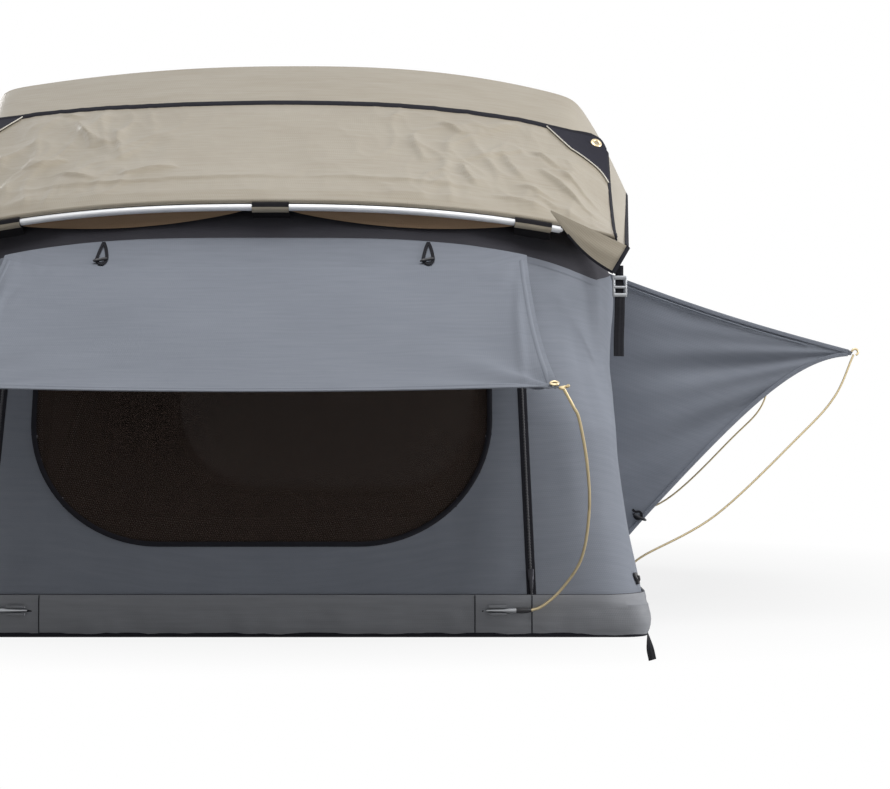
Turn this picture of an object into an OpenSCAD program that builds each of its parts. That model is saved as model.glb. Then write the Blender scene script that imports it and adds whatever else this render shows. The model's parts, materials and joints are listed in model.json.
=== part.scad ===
// Fold-out soft-shell roof top tent, pitched open on two hinged base halves.
// Three bows fan out from one pivot on each side and carry the canvas and the fly sheet.
// Frame: +Z up, the entrance end faces -Y, the origin is the centre of the four rack bolts
// on the underside of the mounting channels below the rear half. Millimetres.

/* [Base] */
// Outside width of the base frames
base_w = 1310; // [1200:10:1400]
// Length of each base half, from the hinge line to its end
half_l = 1215; // [1185:5:1300]
// Height of the frame rails
rail_h = 55; // [48:1:62]
// Width of the frame rails
rail_w = 30; // [26:1:36]
// Corner radius of the base frames
frame_corner = 14; // [6:1:24]
// Height of the floor panels above the underside of the rails
panel_z = 12; // [6:1:14]
// Thickness of the floor panels
panel_t = 20; // [12:1:21]
// Thickness of the foam mattresses
mattress_t = 54; // [40:1:56]
// Margin between a mattress and the rails
mattress_margin = 20; // [18:1:40]
// Crown of a mattress top above its edge
mattress_crown = 8; // [2:1:10]

/* [Rack mount] */
// Height of the mounting channels
channel_h = 30; // [24:1:40]
// Width of the mounting channels
channel_w = 40; // [34:1:50]
// Wall of the mounting channels
channel_wall = 3; // [2:0.5:4]
// Distance between the rack bolts across the tent
bolt_pitch_x = 700; // [500:10:900]
// Distance between the rack bolts along the tent
bolt_pitch_y = 800; // [600:10:1000]
// Diameter of the rack bolt holes
bolt_hole_d = 8.5; // [6.5:0.5:10.5]
// Diameter of the bolts that hold the channels to the frame
channel_bolt_d = 8; // [6:1:10]

/* [Hinge] */
// Height of the pivot above the underside of the rails
pivot_z = 107; // [104:1:112]
// Diameter of the pivot bolts
pivot_d = 12; // [10:1:14]
// Radial running clearance on the pivot bolts
pivot_clear = 0.06; // [0.03:0.01:0.1]
// Thickness of the hinge bracket plates
bracket_t = 6; // [4:0.5:6]
// Radius of the bracket ears and of the bow eyes
ear_r = 16; // [14:0.5:17]
// Length of a bracket foot along its rail
foot_l = 120; // [80:5:160]
// Thickness of a bow eye along the pivot
eye_t = 10; // [8:0.5:11]
// Spacing of the bow eyes along the pivot
eye_pitch = 18; // [17:0.5:20]

/* [Bows] */
// Diameter of the bow tubes
bow_d = 16; // [12:1:16]
// Elevation of the front and rear bows
bow_lean = 32; // [29:0.5:35]
// Distance from the pivot to the crown of the front and rear bows
bow_reach = 1165; // [1120:5:1170]
// Distance from the pivot to the crown of the middle bow
mid_reach = 979; // [930:1:1010]
// Height of the rounded top of a bow
bow_crown = 330; // [280:5:360]

/* [Canvas] */
// Thickness of the canvas
canvas_t = 2.5; // [2:0.25:3]
// Clearance between a bow and the canvas
canvas_clear = 4; // [3:0.5:6]
// Half-width of the walls above the flare
wall_half = 626; // [618:1:640]
// Height where the flare of the walls begins
flare_z = 350; // [300:5:400]
// Corner radius of the walls
wall_corner = 85; // [60:1:110]
// Thickness of the fabric skirt round the base
skirt_t = 13; // [10:1:16]

/* [Windows] */
// Half-width of the end windows
window_half = 400; // [360:5:410]
// Lower edge of the end windows, up the slope of the wall
window_low = 105; // [90:1:140]
// Height of the end windows, up the slope of the wall
window_h = 440; // [400:5:460]
// Radius of the lower window corners
window_low_r = 200; // [150:5:210]
// Radius of the upper window corners
window_high_r = 120; // [80:5:150]
// Length of a side window in each half
side_window_l = 400; // [320:5:440]
// Lower edge of the side windows
side_window_z = 235; // [210:5:260]
// Height of the side windows
side_window_h = 290; // [240:5:310]
// Corner radius of the side windows
side_window_r = 70; // [50:5:90]

/* [Fly] */
// Diameter of the fly poles
pole_d = 13; // [10:0.5:14]
// Distance of a fly pole outside its bow
pole_gap = 44; // [40:1:50]
// Half-length of the end fly poles
pole_half = 528; // [500:2:545]
// Half-length of the middle fly pole
mid_pole_half = 600; // [560:5:610]
// Drop of an end fly pole at its tips, in the plane of the bow
pole_drop = 68; // [60:1:76]
// Drop of the middle fly pole at its tips
mid_pole_drop = 70; // [60:1:76]
// Outer radius of the tab sleeves round the fly poles
sleeve_r = 10; // [9:0.5:11]
// Place of the outer tabs on the end poles
tab_x = 478; // [440:2:485]
// Place of the outer tabs on the middle pole
mid_tab_x = 400; // [360:5:440]
// Length of a tab
tab_l = 64; // [50:1:72]
// Thickness of the fly sheet
fly_t = 2; // [1.5:0.25:2.5]
// Half-width of the fly at its middle eaves
eave_half = 723; // [700:1:740]
// Height of the middle eaves above the underside of the rails
eave_z = 858; // [840:1:880]
// Half-width of the fly where its corners are tied
tie_half = 622; // [618:1:632]
// Height of the tied corners
tie_z = 632; // [624:1:640]
// Share of the front half that the turned-back porch flap covers
porch_share = 0.69; // [0.6:0.01:0.75]
// Half-width of the porch flap at its free edge
porch_half = 658; // [645:1:665]
// Outer diameter of the porch flap grommets
grommet_d = 24; // [20:1:26]

/* [Awnings] */
// Half-width of the front awning at its seam
awning_seam_half = 466; // [440:2:470]
// Half-width of the front awning at its outer edge
awning_edge_half = 500; // [480:2:510]
// Length of the front awning from seam to edge
awning_l = 565; // [540:5:580]
// Angle of the open front awning below level
awning_drop = 24.5; // [22:0.5:28]
// Height of the front awning seam
awning_seam_z = 657; // [640:1:665]
// Thickness of the awning cloth
cloth_t = 2; // [1.5:0.25:2.5]
// Length of the side awnings on each side of the hinge line
side_awning_l = 575; // [540:5:590]
// Half-width of the tent at the side awning tips
side_tip_half = 1128; // [1080:2:1150]
// Height of the side awning tips
side_tip_z = 500; // [480:2:515]
// Height of the side awning seam on the wall
side_seam_z = 640; // [620:2:650]
// Height of the lower end of the side awning gussets
side_low_z = 105; // [90:1:130]
// Diameter of the spring steel prop rods
rod_d = 5; // [4:0.5:6]
// Inner end of the front rod sockets
socket_x = 397; // [380:1:410]
// Height of the rod sockets above the underside of the rails
socket_z = 46; // [40:1:46]

/* [Trim] */
// Width of the webbing
webbing_w = 20; // [16:1:25]
// Thickness of the webbing
webbing_t = 2; // [1.5:0.25:2.5]
// Height of the fly buckles
buckle_h = 46; // [40:1:52]
// Thickness of the fly buckles
buckle_t = 9; // [7:0.5:11]
// Length of the webbing tails below the fly buckles
tail_l = 104; // [80:2:140]
// Length of the corner straps below the base
strap_drop = 46; // [30:2:70]
// Width of the zips
zip_w = 16; // [12:1:18]
// Distance of the zips from the middle at the foot of the wall
zip_x = 468; // [464:1:480]

/* [Hidden] */

$fn = 48;
// Gap that keeps neighbouring pieces from touching
seat = 0.3;
// Half of the gap where the two halves of the tent meet
split = 0.25;
// Small overrun of a cutting shape
over = 1;

// Colours of the finishes
grey_canvas = "#7F848B";
dark_canvas = "#5D5F61";
tan_fly = "#B5AF9F";
black_trim = "#2B2B30";
mesh_black = "#1A1512";
aluminium = "#C9CCD0";
zinc_steel = "#C8A25A";

// Base levels and half-widths
frame_half = base_w / 2;
inner_half = frame_half - rail_w;
panel_top = panel_z + panel_t;
skirt_half = frame_half + skirt_t;
skirt_end = half_l + skirt_t;
hinge_to_mount = half_l / 2;
channel_l = half_l - 2 * split;
// Depth of the channel bolts in the rails
bolt_grip = 14;

// The pivot stack, from the rail inwards
rear_ear_out = inner_half - 0.2;
front_ear_out = rear_ear_out - bracket_t - 0.8;
front_eye_x = front_ear_out - bracket_t - eye_t / 2 - 6;
mid_eye_x = front_eye_x - eye_pitch;
rear_eye_x = mid_eye_x - eye_pitch;
spacer_r = 11;
bolt_head_r = 11;
bolt_head_t = 8;
nut_t = 10;
eye_stub = 45;
foot_z = panel_top + 1;

// The rounded bow top is a superellipse
arch_power = 3;
arch_steps = [0, 2, 8, 18, 32, 48, 64, 78, 85];
wall_offset = bow_d / 2 + canvas_clear;

// The end wall is flat, from the skirt to the front of the end bow
bow_edge = wall_offset + canvas_t;
wall_foot_z = rail_h + seat;
wall_top_y = (bow_reach + bow_edge) * cos(bow_lean) + bow_edge * sin(bow_lean);
wall_top_z = pivot_z + (bow_reach + bow_edge) * sin(bow_lean) - bow_edge * cos(bow_lean);
wall_tilt = atan2(wall_top_z - wall_foot_z, skirt_end - wall_top_y);
flare = skirt_half - wall_half;
flare_power = 1.6;
flare_levels = 6;
corner_steps = 6;

// Fly levels
fly_lift = sleeve_r + 1.8;
fly_overhang = 6;
porch_lift = fly_t + 0.8;
fly_curve = 2.4;
pole_steps = 8;
shoulder_share = 0.72;
fly_across = [0, 0.12, 0.24, 0.36, 0.48, 0.58, 0.66, 0.72, 0.76, 0.86, 1];
fly_along = [0, 0.14, 0.29, 0.43, 0.57, porch_share, 0.85, 1];
porch_along = [for (v = fly_along) if (v <= porch_share) v];
end_pole_reach = bow_reach + pole_gap;
mid_pole_reach = mid_reach + pole_gap;
front_shoulder = pole_half + 12;
mid_shoulder = mid_pole_half + 7;

// Seam of the front awning, on the end wall
seam_r = 3;
seam_y = end_y(awning_seam_z) - seam_r - 0.5;
awning_edge_y = seam_y - awning_l * cos(awning_drop);
awning_edge_z = awning_seam_z - awning_l * sin(awning_drop);

// Rod sockets stand on the face of the skirt
pocket_t = 12;
pocket_l = 24;
pocket_h = 16;
rod_axis_y = skirt_end + seat + pocket_t / 2;
ferrule_l = 44;
ferrule_d = rod_d + 4;

function unit(v) = v / norm(v);
function lerp(a, b, t) = a + (b - a) * t;
function flip(list) = [for (i = [len(list) - 1 : -1 : 0]) list[i]];

// Point on the end wall's outer line at a height, as the tent's own -Y distance
function end_y(z) = -(skirt_end - (z - wall_foot_z) / tan(wall_tilt));

// Half-width of the side wall at a height
function wall_x(z) = wall_half + flare * pow(max(0, flare_z - z) / (flare_z - wall_foot_z), flare_power);

// Right half of a superellipse arch, from its shoulder to the crown
function arch_half(a, b) =
    [for (t = arch_steps) [a * pow(cos(t), 2 / arch_power), b * pow(sin(t), 2 / arch_power)]];
function arch(a, b) =
    concat(arch_half(a, b), [[0, b]], [for (p = flip(arch_half(a, b))) [-p[0], p[1]]]);

// Height of the canvas over a bow at x, in the plane of the bow
function canvas_r(x, half, reach) =
    reach - bow_crown + lookup(abs(x), arch(half + bow_edge, bow_crown + bow_edge));

// Height of a fly pole at x, in the plane of its bow
function pole_r(x, half, reach, drop) = reach - drop * pow(abs(x) / half, fly_curve);

// Rings of a round tube swept along a path
function tangent(path, i) = unit(path[min(i + 1, len(path) - 1)] - path[max(i - 1, 0)]);
function ring(c, t, side, r, n) =
    let (u = unit(cross(side, t)), w = cross(t, u))
    [for (k = [0 : n - 1]) c + r * (cos(360 * k / n) * u + sin(360 * k / n) * w)];

// Solid skinned over a stack of rings with equal counts
module skin(rings) {
    n = len(rings[0]);
    last = len(rings) - 1;
    points = [for (r = rings, p = r) p];
    walls = [for (i = [0 : last - 1], k = [0 : n - 1], f = [
        [i * n + k, (i + 1) * n + k, (i + 1) * n + (k + 1) % n],
        [i * n + k, (i + 1) * n + (k + 1) % n, i * n + (k + 1) % n]
    ]) f];
    caps = [[for (k = [0 : n - 1]) k], [for (k = [n - 1 : -1 : 0]) last * n + k]];
    polyhedron(points, concat(walls, caps));
}

module tube(path, d, sides, side = [0, 0, 1]) {
    skin([for (i = [0 : len(path) - 1]) ring(path[i], tangent(path, i), side, d / 2, sides)]);
}

// Smooth path through hand-chosen points
function spline(p, n) = concat(
    [for (i = [0 : len(p) - 2], k = [0 : n - 1])
        let (a = p[max(i - 1, 0)], b = p[i], c = p[i + 1], d = p[min(i + 2, len(p) - 1)], t = k / n)
        0.5 * (2 * b + (c - a) * t + (2 * a - 5 * b + 4 * c - d) * pow(t, 2)
            + (3 * b - a - 3 * c + d) * pow(t, 3))],
    [p[len(p) - 1]]);

// Normals of a grid of points, and the grid moved along them
function grid_normal(g, i, j) =
    let (u = g[min(i + 1, len(g) - 1)][j] - g[max(i - 1, 0)][j],
         v = g[i][min(j + 1, len(g[0]) - 1)] - g[i][max(j - 1, 0)])
    unit(cross(u, v));
function lifted(g, t) =
    [for (i = [0 : len(g) - 1]) [for (j = [0 : len(g[0]) - 1]) g[i][j] + t * grid_normal(g, i, j)]];

// Cloth of even thickness on a grid of points
module cloth(g, t) {
    m = len(g);
    n = len(g[0]);
    top = lifted(g, t);
    points = concat([for (row = g, p = row) p], [for (row = top, p = row) p]);
    h = m * n;
    faces_flat = [for (i = [0 : m - 2], j = [0 : n - 2])
        let (a = i * n + j, b = a + n, c = b + 1, d = a + 1)
        each [[h + a, h + d, h + c], [h + a, h + c, h + b], [a, b, c], [a, c, d]]];
    faces_sides = [for (i = [0 : m - 2])
        let (a = i * n, b = a + n, p = a + n - 1, q = b + n - 1)
        each [[a, h + a, h + b], [a, h + b, b], [q, h + q, h + p], [q, h + p, p]]];
    faces_ends = [for (j = [0 : n - 2])
        let (a = j, b = j + 1, p = (m - 1) * n + j, q = p + 1)
        each [[b, h + b, h + a], [b, h + a, a], [p, h + p, h + q], [p, h + q, q]]];
    polyhedron(points, concat(faces_flat, faces_sides, faces_ends));
}

module at_hinge() {
    translate([0, -hinge_to_mount, channel_h]) children();
}

module rear_half() {
    mirror([0, 1, 0]) children();
}

module both_sides() {
    children();
    mirror([1, 0, 0]) children();
}

// Plane of a bow: x across, y out from the pivot
module bow_plane(angle) {
    translate([0, 0, pivot_z]) rotate([angle, 0, 0]) children();
}

// Plane of the front end wall: x across, y up the slope, z out of the wall
module on_end_wall() {
    translate([0, -skirt_end, wall_foot_z]) rotate([wall_tilt, 0, 0]) children();
}

module rounded_rect(half, low, high, r) {
    w = half - r;
    translate([-half, low + r]) square([2 * half, high - low - 2 * r]);
    translate([-w, low]) square([2 * w, high - low]);
    for (x = [-w, w], y = [low + r, high - r]) translate([x, y]) circle(r);
}

// Base halves

// Frame of four rails; the rail at the hinge line is low, so that the mattresses meet over it
module half_frame() {
    difference() {
        linear_extrude(rail_h) difference() {
            union() {
                rounded_rect(frame_half, -half_l, -half_l / 2, frame_corner);
                translate([-frame_half, -half_l + frame_corner])
                    square([2 * frame_half, half_l - frame_corner - split]);
            }
            translate([-inner_half, -half_l + rail_w])
                square([2 * inner_half, half_l - 2 * rail_w - split]);
        }
        translate([-inner_half, -rail_w - over, panel_top]) cube([2 * inner_half, rail_w + 2 * over, rail_h]);
    }
}

module channel_bolt_places() {
    for (x = [-1, 1], y = [rail_w / 2, half_l - rail_w / 2])
        translate([x * bolt_pitch_x / 2, y, 0]) children();
}

module rear_base_frame() {
    color(aluminium) at_hinge() difference() {
        rear_half() half_frame();
        channel_bolt_places()
            translate([0, 0, -over]) cylinder(d = channel_bolt_d + 2 * seat, h = bolt_grip + 2 * over);
    }
}

module front_base_frame() {
    color(aluminium) at_hinge() half_frame();
}

module half_panel() {
    translate([-inner_half + seat, -half_l + rail_w + seat, panel_z])
        cube([2 * (inner_half - seat), half_l - 2 * rail_w - split - 2 * seat, panel_t]);
}

module rear_floor_panel() {
    color("#8A8D90") at_hinge() rear_half() half_panel();
}

module front_floor_panel() {
    color("#8A8D90") at_hinge() half_panel();
}

// Foam block with a crowned top and drawn-in edges
module half_mattress() {
    half = inner_half - mattress_margin;
    low = half_l - rail_w - mattress_margin;
    edge = 18;
    levels = [[0, edge / 2], [edge / 2, 0], [mattress_t - mattress_crown - edge / 2, 0],
        [mattress_t - mattress_crown, edge / 2], [mattress_t - 2, 6 * edge], [mattress_t, 12 * edge]];
    translate([0, 0, panel_top + seat])
        skin([for (l = levels) [for (p = [[-1, 0], [-1, 1], [1, 1], [1, 0]])
            [p[0] * (half - l[1]), -lerp(split + l[1], low - l[1], p[1]), l[0]]]]);
}

module rear_mattress() {
    color("#4A4C52") at_hinge() rear_half() half_mattress();
}

module front_mattress() {
    color("#4A4C52") at_hinge() half_mattress();
}

// Fabric skirt that covers three edges of a base half
module half_skirt() {
    linear_extrude(rail_h) difference() {
        union() {
            rounded_rect(skirt_half, -skirt_end, -half_l / 2, wall_corner / 2);
            translate([-skirt_half, -half_l / 2 - wall_corner])
                square([2 * skirt_half, half_l / 2 + wall_corner - split]);
        }
        rounded_rect(frame_half + seat, -half_l - seat, over, frame_corner - 4);
        translate([-frame_half - seat, -half_l / 2])
            square([2 * (frame_half + seat), half_l / 2 + over]);
    }
}

module front_skirt() {
    color(dark_canvas) at_hinge() half_skirt();
}

module rear_skirt() {
    color(dark_canvas) at_hinge() rear_half() half_skirt();
}

// Rack mount

module rack_channels() {
    color(aluminium) at_hinge() difference() {
        for (x = [-1, 1]) translate([x * bolt_pitch_x / 2, 0, 0]) difference() {
            translate([-channel_w / 2, split, -channel_h]) cube([channel_w, channel_l, channel_h]);
            translate([-channel_w / 2 + channel_wall, split - over, -channel_h + channel_wall])
                cube([channel_w - 2 * channel_wall, channel_l + 2 * over, channel_h - 2 * channel_wall]);
        }
        for (x = [-1, 1], y = [-1, 1])
            translate([x * bolt_pitch_x / 2, hinge_to_mount + y * bolt_pitch_y / 2, -channel_h - over])
                cylinder(d = bolt_hole_d, h = channel_wall + 2 * over);
        channel_bolt_places() translate([0, 0, -channel_wall - over])
            cylinder(d = channel_bolt_d + 2 * seat, h = channel_wall + 2 * over);
    }
}

module channel_bolts() {
    head_t = channel_bolt_d * 0.65;
    color("#9A9DA1") at_hinge() channel_bolt_places() {
        translate([0, 0, -channel_wall]) cylinder(d = channel_bolt_d, h = channel_wall + bolt_grip);
        translate([0, 0, -channel_wall - seat / 2 - head_t])
            cylinder(d = channel_bolt_d * 1.6, h = head_t + seat / 2, $fn = 6);
    }
}

// Hinge

// Bracket plate in the plane of its ear, reaching from the rail foot to the pivot
module bracket_plate() {
    difference() {
        union() {
            translate([-foot_l, foot_z]) square([foot_l - 1, rail_h - foot_z]);
            polygon([[-1, foot_z], [-foot_l / 2, rail_h], [-ear_r * 0.8, pivot_z],
                [ear_r * 0.6, pivot_z], [-1, rail_h]]);
            translate([0, pivot_z]) circle(ear_r);
        }
        translate([0, pivot_z]) circle(pivot_d / 2 + pivot_clear);
        for (k = [0.45, 0.85]) translate([-foot_l * k, (foot_z + rail_h) / 2]) circle(2.5);
    }
}

// Turns a drawing of the plate so that its x runs along the tent and its depth runs across it
module upright(x) {
    translate([x, 0, 0]) rotate([90, 0, 90]) children();
}

module rear_hinge_brackets() {
    color("#6F7276") at_hinge() rear_half() both_sides()
        upright(rear_ear_out - bracket_t) linear_extrude(bracket_t) bracket_plate();
}

module front_hinge_brackets() {
    pad_l = foot_l - 2 * ear_r;
    color("#6F7276") at_hinge() both_sides() {
        upright(front_ear_out - bracket_t) linear_extrude(bracket_t) bracket_plate();
        upright(front_ear_out) linear_extrude(inner_half - front_ear_out) difference() {
            translate([-foot_l, foot_z]) square([pad_l, rail_h - foot_z]);
            for (k = [0.45, 0.85]) translate([-foot_l * k, (foot_z + rail_h) / 2]) circle(2.5);
        }
    }
}

module along_pivot(x) {
    translate([x, 0, pivot_z]) rotate([0, 90, 0]) children();
}

module pivot_bolts() {
    inner = rear_eye_x - eye_t / 2 - nut_t - 4;
    color("#B9BBBE") at_hinge() both_sides() {
        along_pivot(inner) cylinder(d = pivot_d, h = rear_ear_out + 0.2 - inner);
        along_pivot(rear_ear_out + 0.2) cylinder(r = bolt_head_r, h = bolt_head_t, $fn = 6);
    }
}

module pivot_nuts() {
    color("#B9BBBE") at_hinge() both_sides() along_pivot(rear_eye_x - eye_t / 2 - 0.4 - nut_t) difference() {
        cylinder(r = bolt_head_r, h = nut_t, $fn = 6);
        translate([0, 0, -over]) cylinder(r = pivot_d / 2 + pivot_clear, h = nut_t + 2 * over);
    }
}

module pivot_spacer(inner, outer) {
    along_pivot(inner + 0.2) difference() {
        cylinder(r = spacer_r, h = outer - inner - 0.4);
        translate([0, 0, -over]) cylinder(r = pivot_d / 2 + pivot_clear, h = outer - inner + 2 * over);
    }
}

module pivot_spacers() {
    color(black_trim) at_hinge() both_sides() {
        pivot_spacer(front_eye_x + eye_t / 2, front_ear_out - bracket_t);
        pivot_spacer(mid_eye_x + eye_t / 2, front_eye_x - eye_t / 2);
        pivot_spacer(rear_eye_x + eye_t / 2, mid_eye_x - eye_t / 2);
    }
}

// Bows

module bow_tube(half, reach) {
    top = [for (p = arch(half, bow_crown)) [p[0], p[1] + reach - bow_crown, 0]];
    tube(concat([[half, eye_stub, 0]], top, [[-half, eye_stub, 0]]), bow_d, 12);
}

module bow_eyes(half) {
    both_sides() translate([half, 0, 0]) difference() {
        union() {
            rotate([0, 90, 0]) cylinder(r = ear_r, h = eye_t, center = true);
            translate([0, spacer_r + 1, 0]) rotate([-90, 0, 0])
                cylinder(d = bow_d, h = eye_stub - seat - spacer_r - 1);
        }
        rotate([0, 90, 0]) cylinder(r = pivot_d / 2 + pivot_clear, h = bow_d + 2 * over, center = true);
    }
}

module front_bow() {
    color(aluminium) at_hinge() bow_plane(180 - bow_lean) bow_tube(front_eye_x, bow_reach);
}

module mid_bow() {
    color(aluminium) at_hinge() bow_plane(90) bow_tube(mid_eye_x, mid_reach);
}

module rear_bow() {
    color(aluminium) at_hinge() bow_plane(bow_lean) bow_tube(rear_eye_x, bow_reach);
}

module front_bow_eyes() {
    color("#8E9196") at_hinge() bow_plane(180 - bow_lean) bow_eyes(front_eye_x);
}

module mid_bow_eyes() {
    color("#8E9196") at_hinge() bow_plane(90) bow_eyes(mid_eye_x);
}

module rear_bow_eyes() {
    color("#8E9196") at_hinge() bow_plane(bow_lean) bow_eyes(rear_eye_x);
}

// Fly poles and the tabs that hold them off the canvas

module fly_pole(half, reach, drop) {
    tube([for (k = [pole_steps : -1 : -pole_steps])
        let (x = half * k / pole_steps) [x, pole_r(x, half, reach, drop), 0]], pole_d, 10);
}

// Fabric tab: a sleeve round the pole and a web down to the canvas, which bulges at the end corners
tab_bulge = 11;
module pole_tab(x, foot_gap, bow_half, bow_top, half, reach, drop) {
    x0 = x - tab_l / 2;
    x1 = x + tab_l / 2;
    r0 = pole_r(x0, half, reach, drop);
    r1 = pole_r(x1, half, reach, drop);
    slope = atan2(r1 - r0, tab_l);
    difference() {
        union() {
            translate([x0, r0, 0]) rotate([0, 90, slope]) cylinder(r = sleeve_r, h = norm([tab_l, r1 - r0]));
            translate([0, 0, -sleeve_r / 4]) linear_extrude(sleeve_r / 2) polygon([
                for (q = [x0, (x0 + x) / 2, x, (x1 + x) / 2, x1])
                    [q, canvas_r(q, bow_half, bow_top) + foot_gap],
                [x1, r1], [x0, r0]]);
        }
        translate([x0, r0, 0]) rotate([0, 90, slope])
            translate([0, 0, -tab_l]) cylinder(d = pole_d + 1.6, h = 3 * tab_l);
    }
}

module pole_tabs(place, bulge, bow_half, bow_top, half, reach, drop) {
    pole_tab(0, 2 * seat, bow_half, bow_top, half, reach, drop);
    for (x = [-place, place]) pole_tab(x, 2 * seat + bulge, bow_half, bow_top, half, reach, drop);
}

module front_fly_pole() {
    color(aluminium) at_hinge() bow_plane(180 - bow_lean) fly_pole(pole_half, end_pole_reach, pole_drop);
}

module mid_fly_pole() {
    color(aluminium) at_hinge() bow_plane(90) fly_pole(mid_pole_half, mid_pole_reach, mid_pole_drop);
}

module rear_fly_pole() {
    color(aluminium) at_hinge() bow_plane(bow_lean) fly_pole(pole_half, end_pole_reach, pole_drop);
}

module front_pole_tabs() {
    color(black_trim) at_hinge() bow_plane(180 - bow_lean)
        pole_tabs(tab_x, tab_bulge, front_eye_x, bow_reach, pole_half, end_pole_reach, pole_drop);
}

module mid_pole_tabs() {
    color(black_trim) at_hinge() bow_plane(90)
        pole_tabs(mid_tab_x, 0, mid_eye_x, mid_reach, mid_pole_half, mid_pole_reach, mid_pole_drop);
}

module rear_pole_tabs() {
    color(black_trim) at_hinge() bow_plane(bow_lean)
        pole_tabs(tab_x, tab_bulge, rear_eye_x, bow_reach, pole_half, end_pole_reach, pole_drop);
}

// Canvas

// Outline of the walls at a height, open towards the hinge line
function wall_ring(z, inset, back) =
    let (w = wall_x(z) - inset, y = end_y(z) + inset / sin(wall_tilt), r = wall_corner - inset,
         left = [for (k = [0 : corner_steps]) let (a = 180 + 90 * k / corner_steps)
            [-w + r + r * cos(a), y + r + r * sin(a), z]])
    concat([[-w, back, z]], left, [for (p = flip(left)) [-p[0], p[1], z]], [[w, back, z]]);

module wall_block(inset, back, low, high) {
    skin([for (k = [0 : flare_levels]) wall_ring(lerp(low, high, k / flare_levels), inset, back)]);
}

// Taut roof and upper walls: cloth stretched over the end bow, the middle bow and the wall line
module roof_block(bow_half, inset, back) {
    o = bow_edge - inset;
    hull() {
        bow_plane(180 - bow_lean) linear_extrude(2 * o, center = true)
            translate([0, bow_reach - bow_crown]) polygon(arch(bow_half + o, bow_crown + o));
        bow_plane(90) translate([0, 0, -back]) linear_extrude(o + back)
            translate([0, mid_reach - bow_crown]) polygon(arch(mid_eye_x + o, bow_crown + o));
        skin([wall_ring(flare_z - inset, inset, back), wall_ring(flare_z - inset + 1, inset, back)]);
    }
}

module canvas_shell(bow_half) {
    difference() {
        union() {
            wall_block(0, -split, wall_foot_z, flare_z);
            roof_block(bow_half, 0, -split);
        }
        wall_block(canvas_t, over, wall_foot_z - over, flare_z);
        roof_block(bow_half, canvas_t, over);
    }
}

// Opening of the end window, square to the end wall
module end_window(gap) {
    low = window_low + gap;
    high = window_low + window_h - gap;
    half = window_half - gap;
    low_w = half - window_low_r;
    high_w = half - window_high_r;
    on_end_wall() translate([0, 0, -30]) linear_extrude(60) {
        translate([-half, low + window_low_r]) square([2 * half, high - low - window_low_r - window_high_r]);
        translate([-low_w, low]) square([2 * low_w, window_low_r]);
        translate([-high_w, high - window_high_r]) square([2 * high_w, window_high_r]);
        for (x = [-low_w, low_w]) translate([x, low + window_low_r]) circle(window_low_r);
        for (x = [-high_w, high_w]) translate([x, high - window_high_r]) circle(window_high_r);
    }
}

module side_windows(gap, back) {
    low = side_window_z + gap;
    high = side_window_z + side_window_h - gap;
    both_sides() translate([wall_half - 60, 0, 0]) rotate([90, 0, 90]) linear_extrude(140) {
        intersection() {
            rounded_rect(side_window_l - gap, low, high, side_window_r);
            translate([-2 * side_window_l, 0]) square([2 * side_window_l + back, 2 * high]);
        }
    }
}

module canvas_half(bow_half) {
    difference() {
        canvas_shell(bow_half);
        end_window(0);
        side_windows(0, over);
    }
}

module front_canvas() {
    color(grey_canvas) at_hinge() canvas_half(front_eye_x);
}

module rear_canvas() {
    color(grey_canvas) at_hinge() rear_half() canvas_half(rear_eye_x);
}

module front_window_mesh() {
    color(mesh_black) at_hinge() intersection() {
        canvas_shell(front_eye_x);
        end_window(seat);
    }
}

module rear_window_mesh() {
    color(mesh_black) at_hinge() rear_half() intersection() {
        canvas_shell(rear_eye_x);
        end_window(seat);
    }
}

module front_side_meshes() {
    color(mesh_black) at_hinge() intersection() {
        canvas_shell(front_eye_x);
        side_windows(seat, -split);
    }
}

module rear_side_meshes() {
    color(mesh_black) at_hinge() rear_half() intersection() {
        canvas_shell(rear_eye_x);
        side_windows(seat, -split);
    }
}

// Fly sheet

// Middle line, shoulder and edge of the fly at a share v of the way from the end pole to the middle
function fly_line(v, x, front, middle, sag) =
    let (end = front * cos(bow_lean), y = lerp(-end - fly_overhang, -split, v))
    [x, y, pivot_z + lerp(middle, front * sin(bow_lean), -y / end) + fly_lift - sag * sin(180 * v)];
function fly_crown(v) = fly_line(v, 0, end_pole_reach, mid_pole_reach, 10);
function fly_shoulder(v) = fly_line(v, lerp(front_shoulder, mid_shoulder, v),
    pole_r(front_shoulder, pole_half, end_pole_reach, pole_drop),
    pole_r(mid_shoulder, mid_pole_half, mid_pole_reach, mid_pole_drop), 6);
function fly_edge(v) =
    [lerp(tie_half, eave_half, v), lerp(-end_pole_reach * cos(bow_lean), -split, v), lerp(tie_z, eave_z, v)];

function fly_point(h, v, edge) =
    let (c = fly_crown(v), s = fly_shoulder(v), q = h / shoulder_share, e = pow(q, fly_curve),
         w = (h - shoulder_share) / (1 - shoulder_share))
    h <= shoulder_share
        ? [s[0] * q, lerp(c[1], s[1], e), lerp(c[2], s[2], e)]
        : lerp(s, edge, w) + [0, 0, 14 * sin(180 * w) * v];

// Grid of a sheet that spans both sides, from the left edge to the right
function both_halves(row) =
    concat([for (p = flip(row)) [-p[0], p[1], p[2]]], [for (i = [1 : len(row) - 1]) row[i]]);
function columns(rows) = [for (i = [0 : len(rows[0]) - 1]) [for (r = rows) r[i]]];

fly_grid = columns([for (v = fly_along) both_halves([for (h = fly_across) fly_point(h, v, fly_edge(v))])]);

module front_fly() {
    color(tan_fly) at_hinge() cloth(fly_grid, fly_t);
}

module rear_fly() {
    color(tan_fly) at_hinge() rear_half() cloth(fly_grid, fly_t);
}

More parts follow.
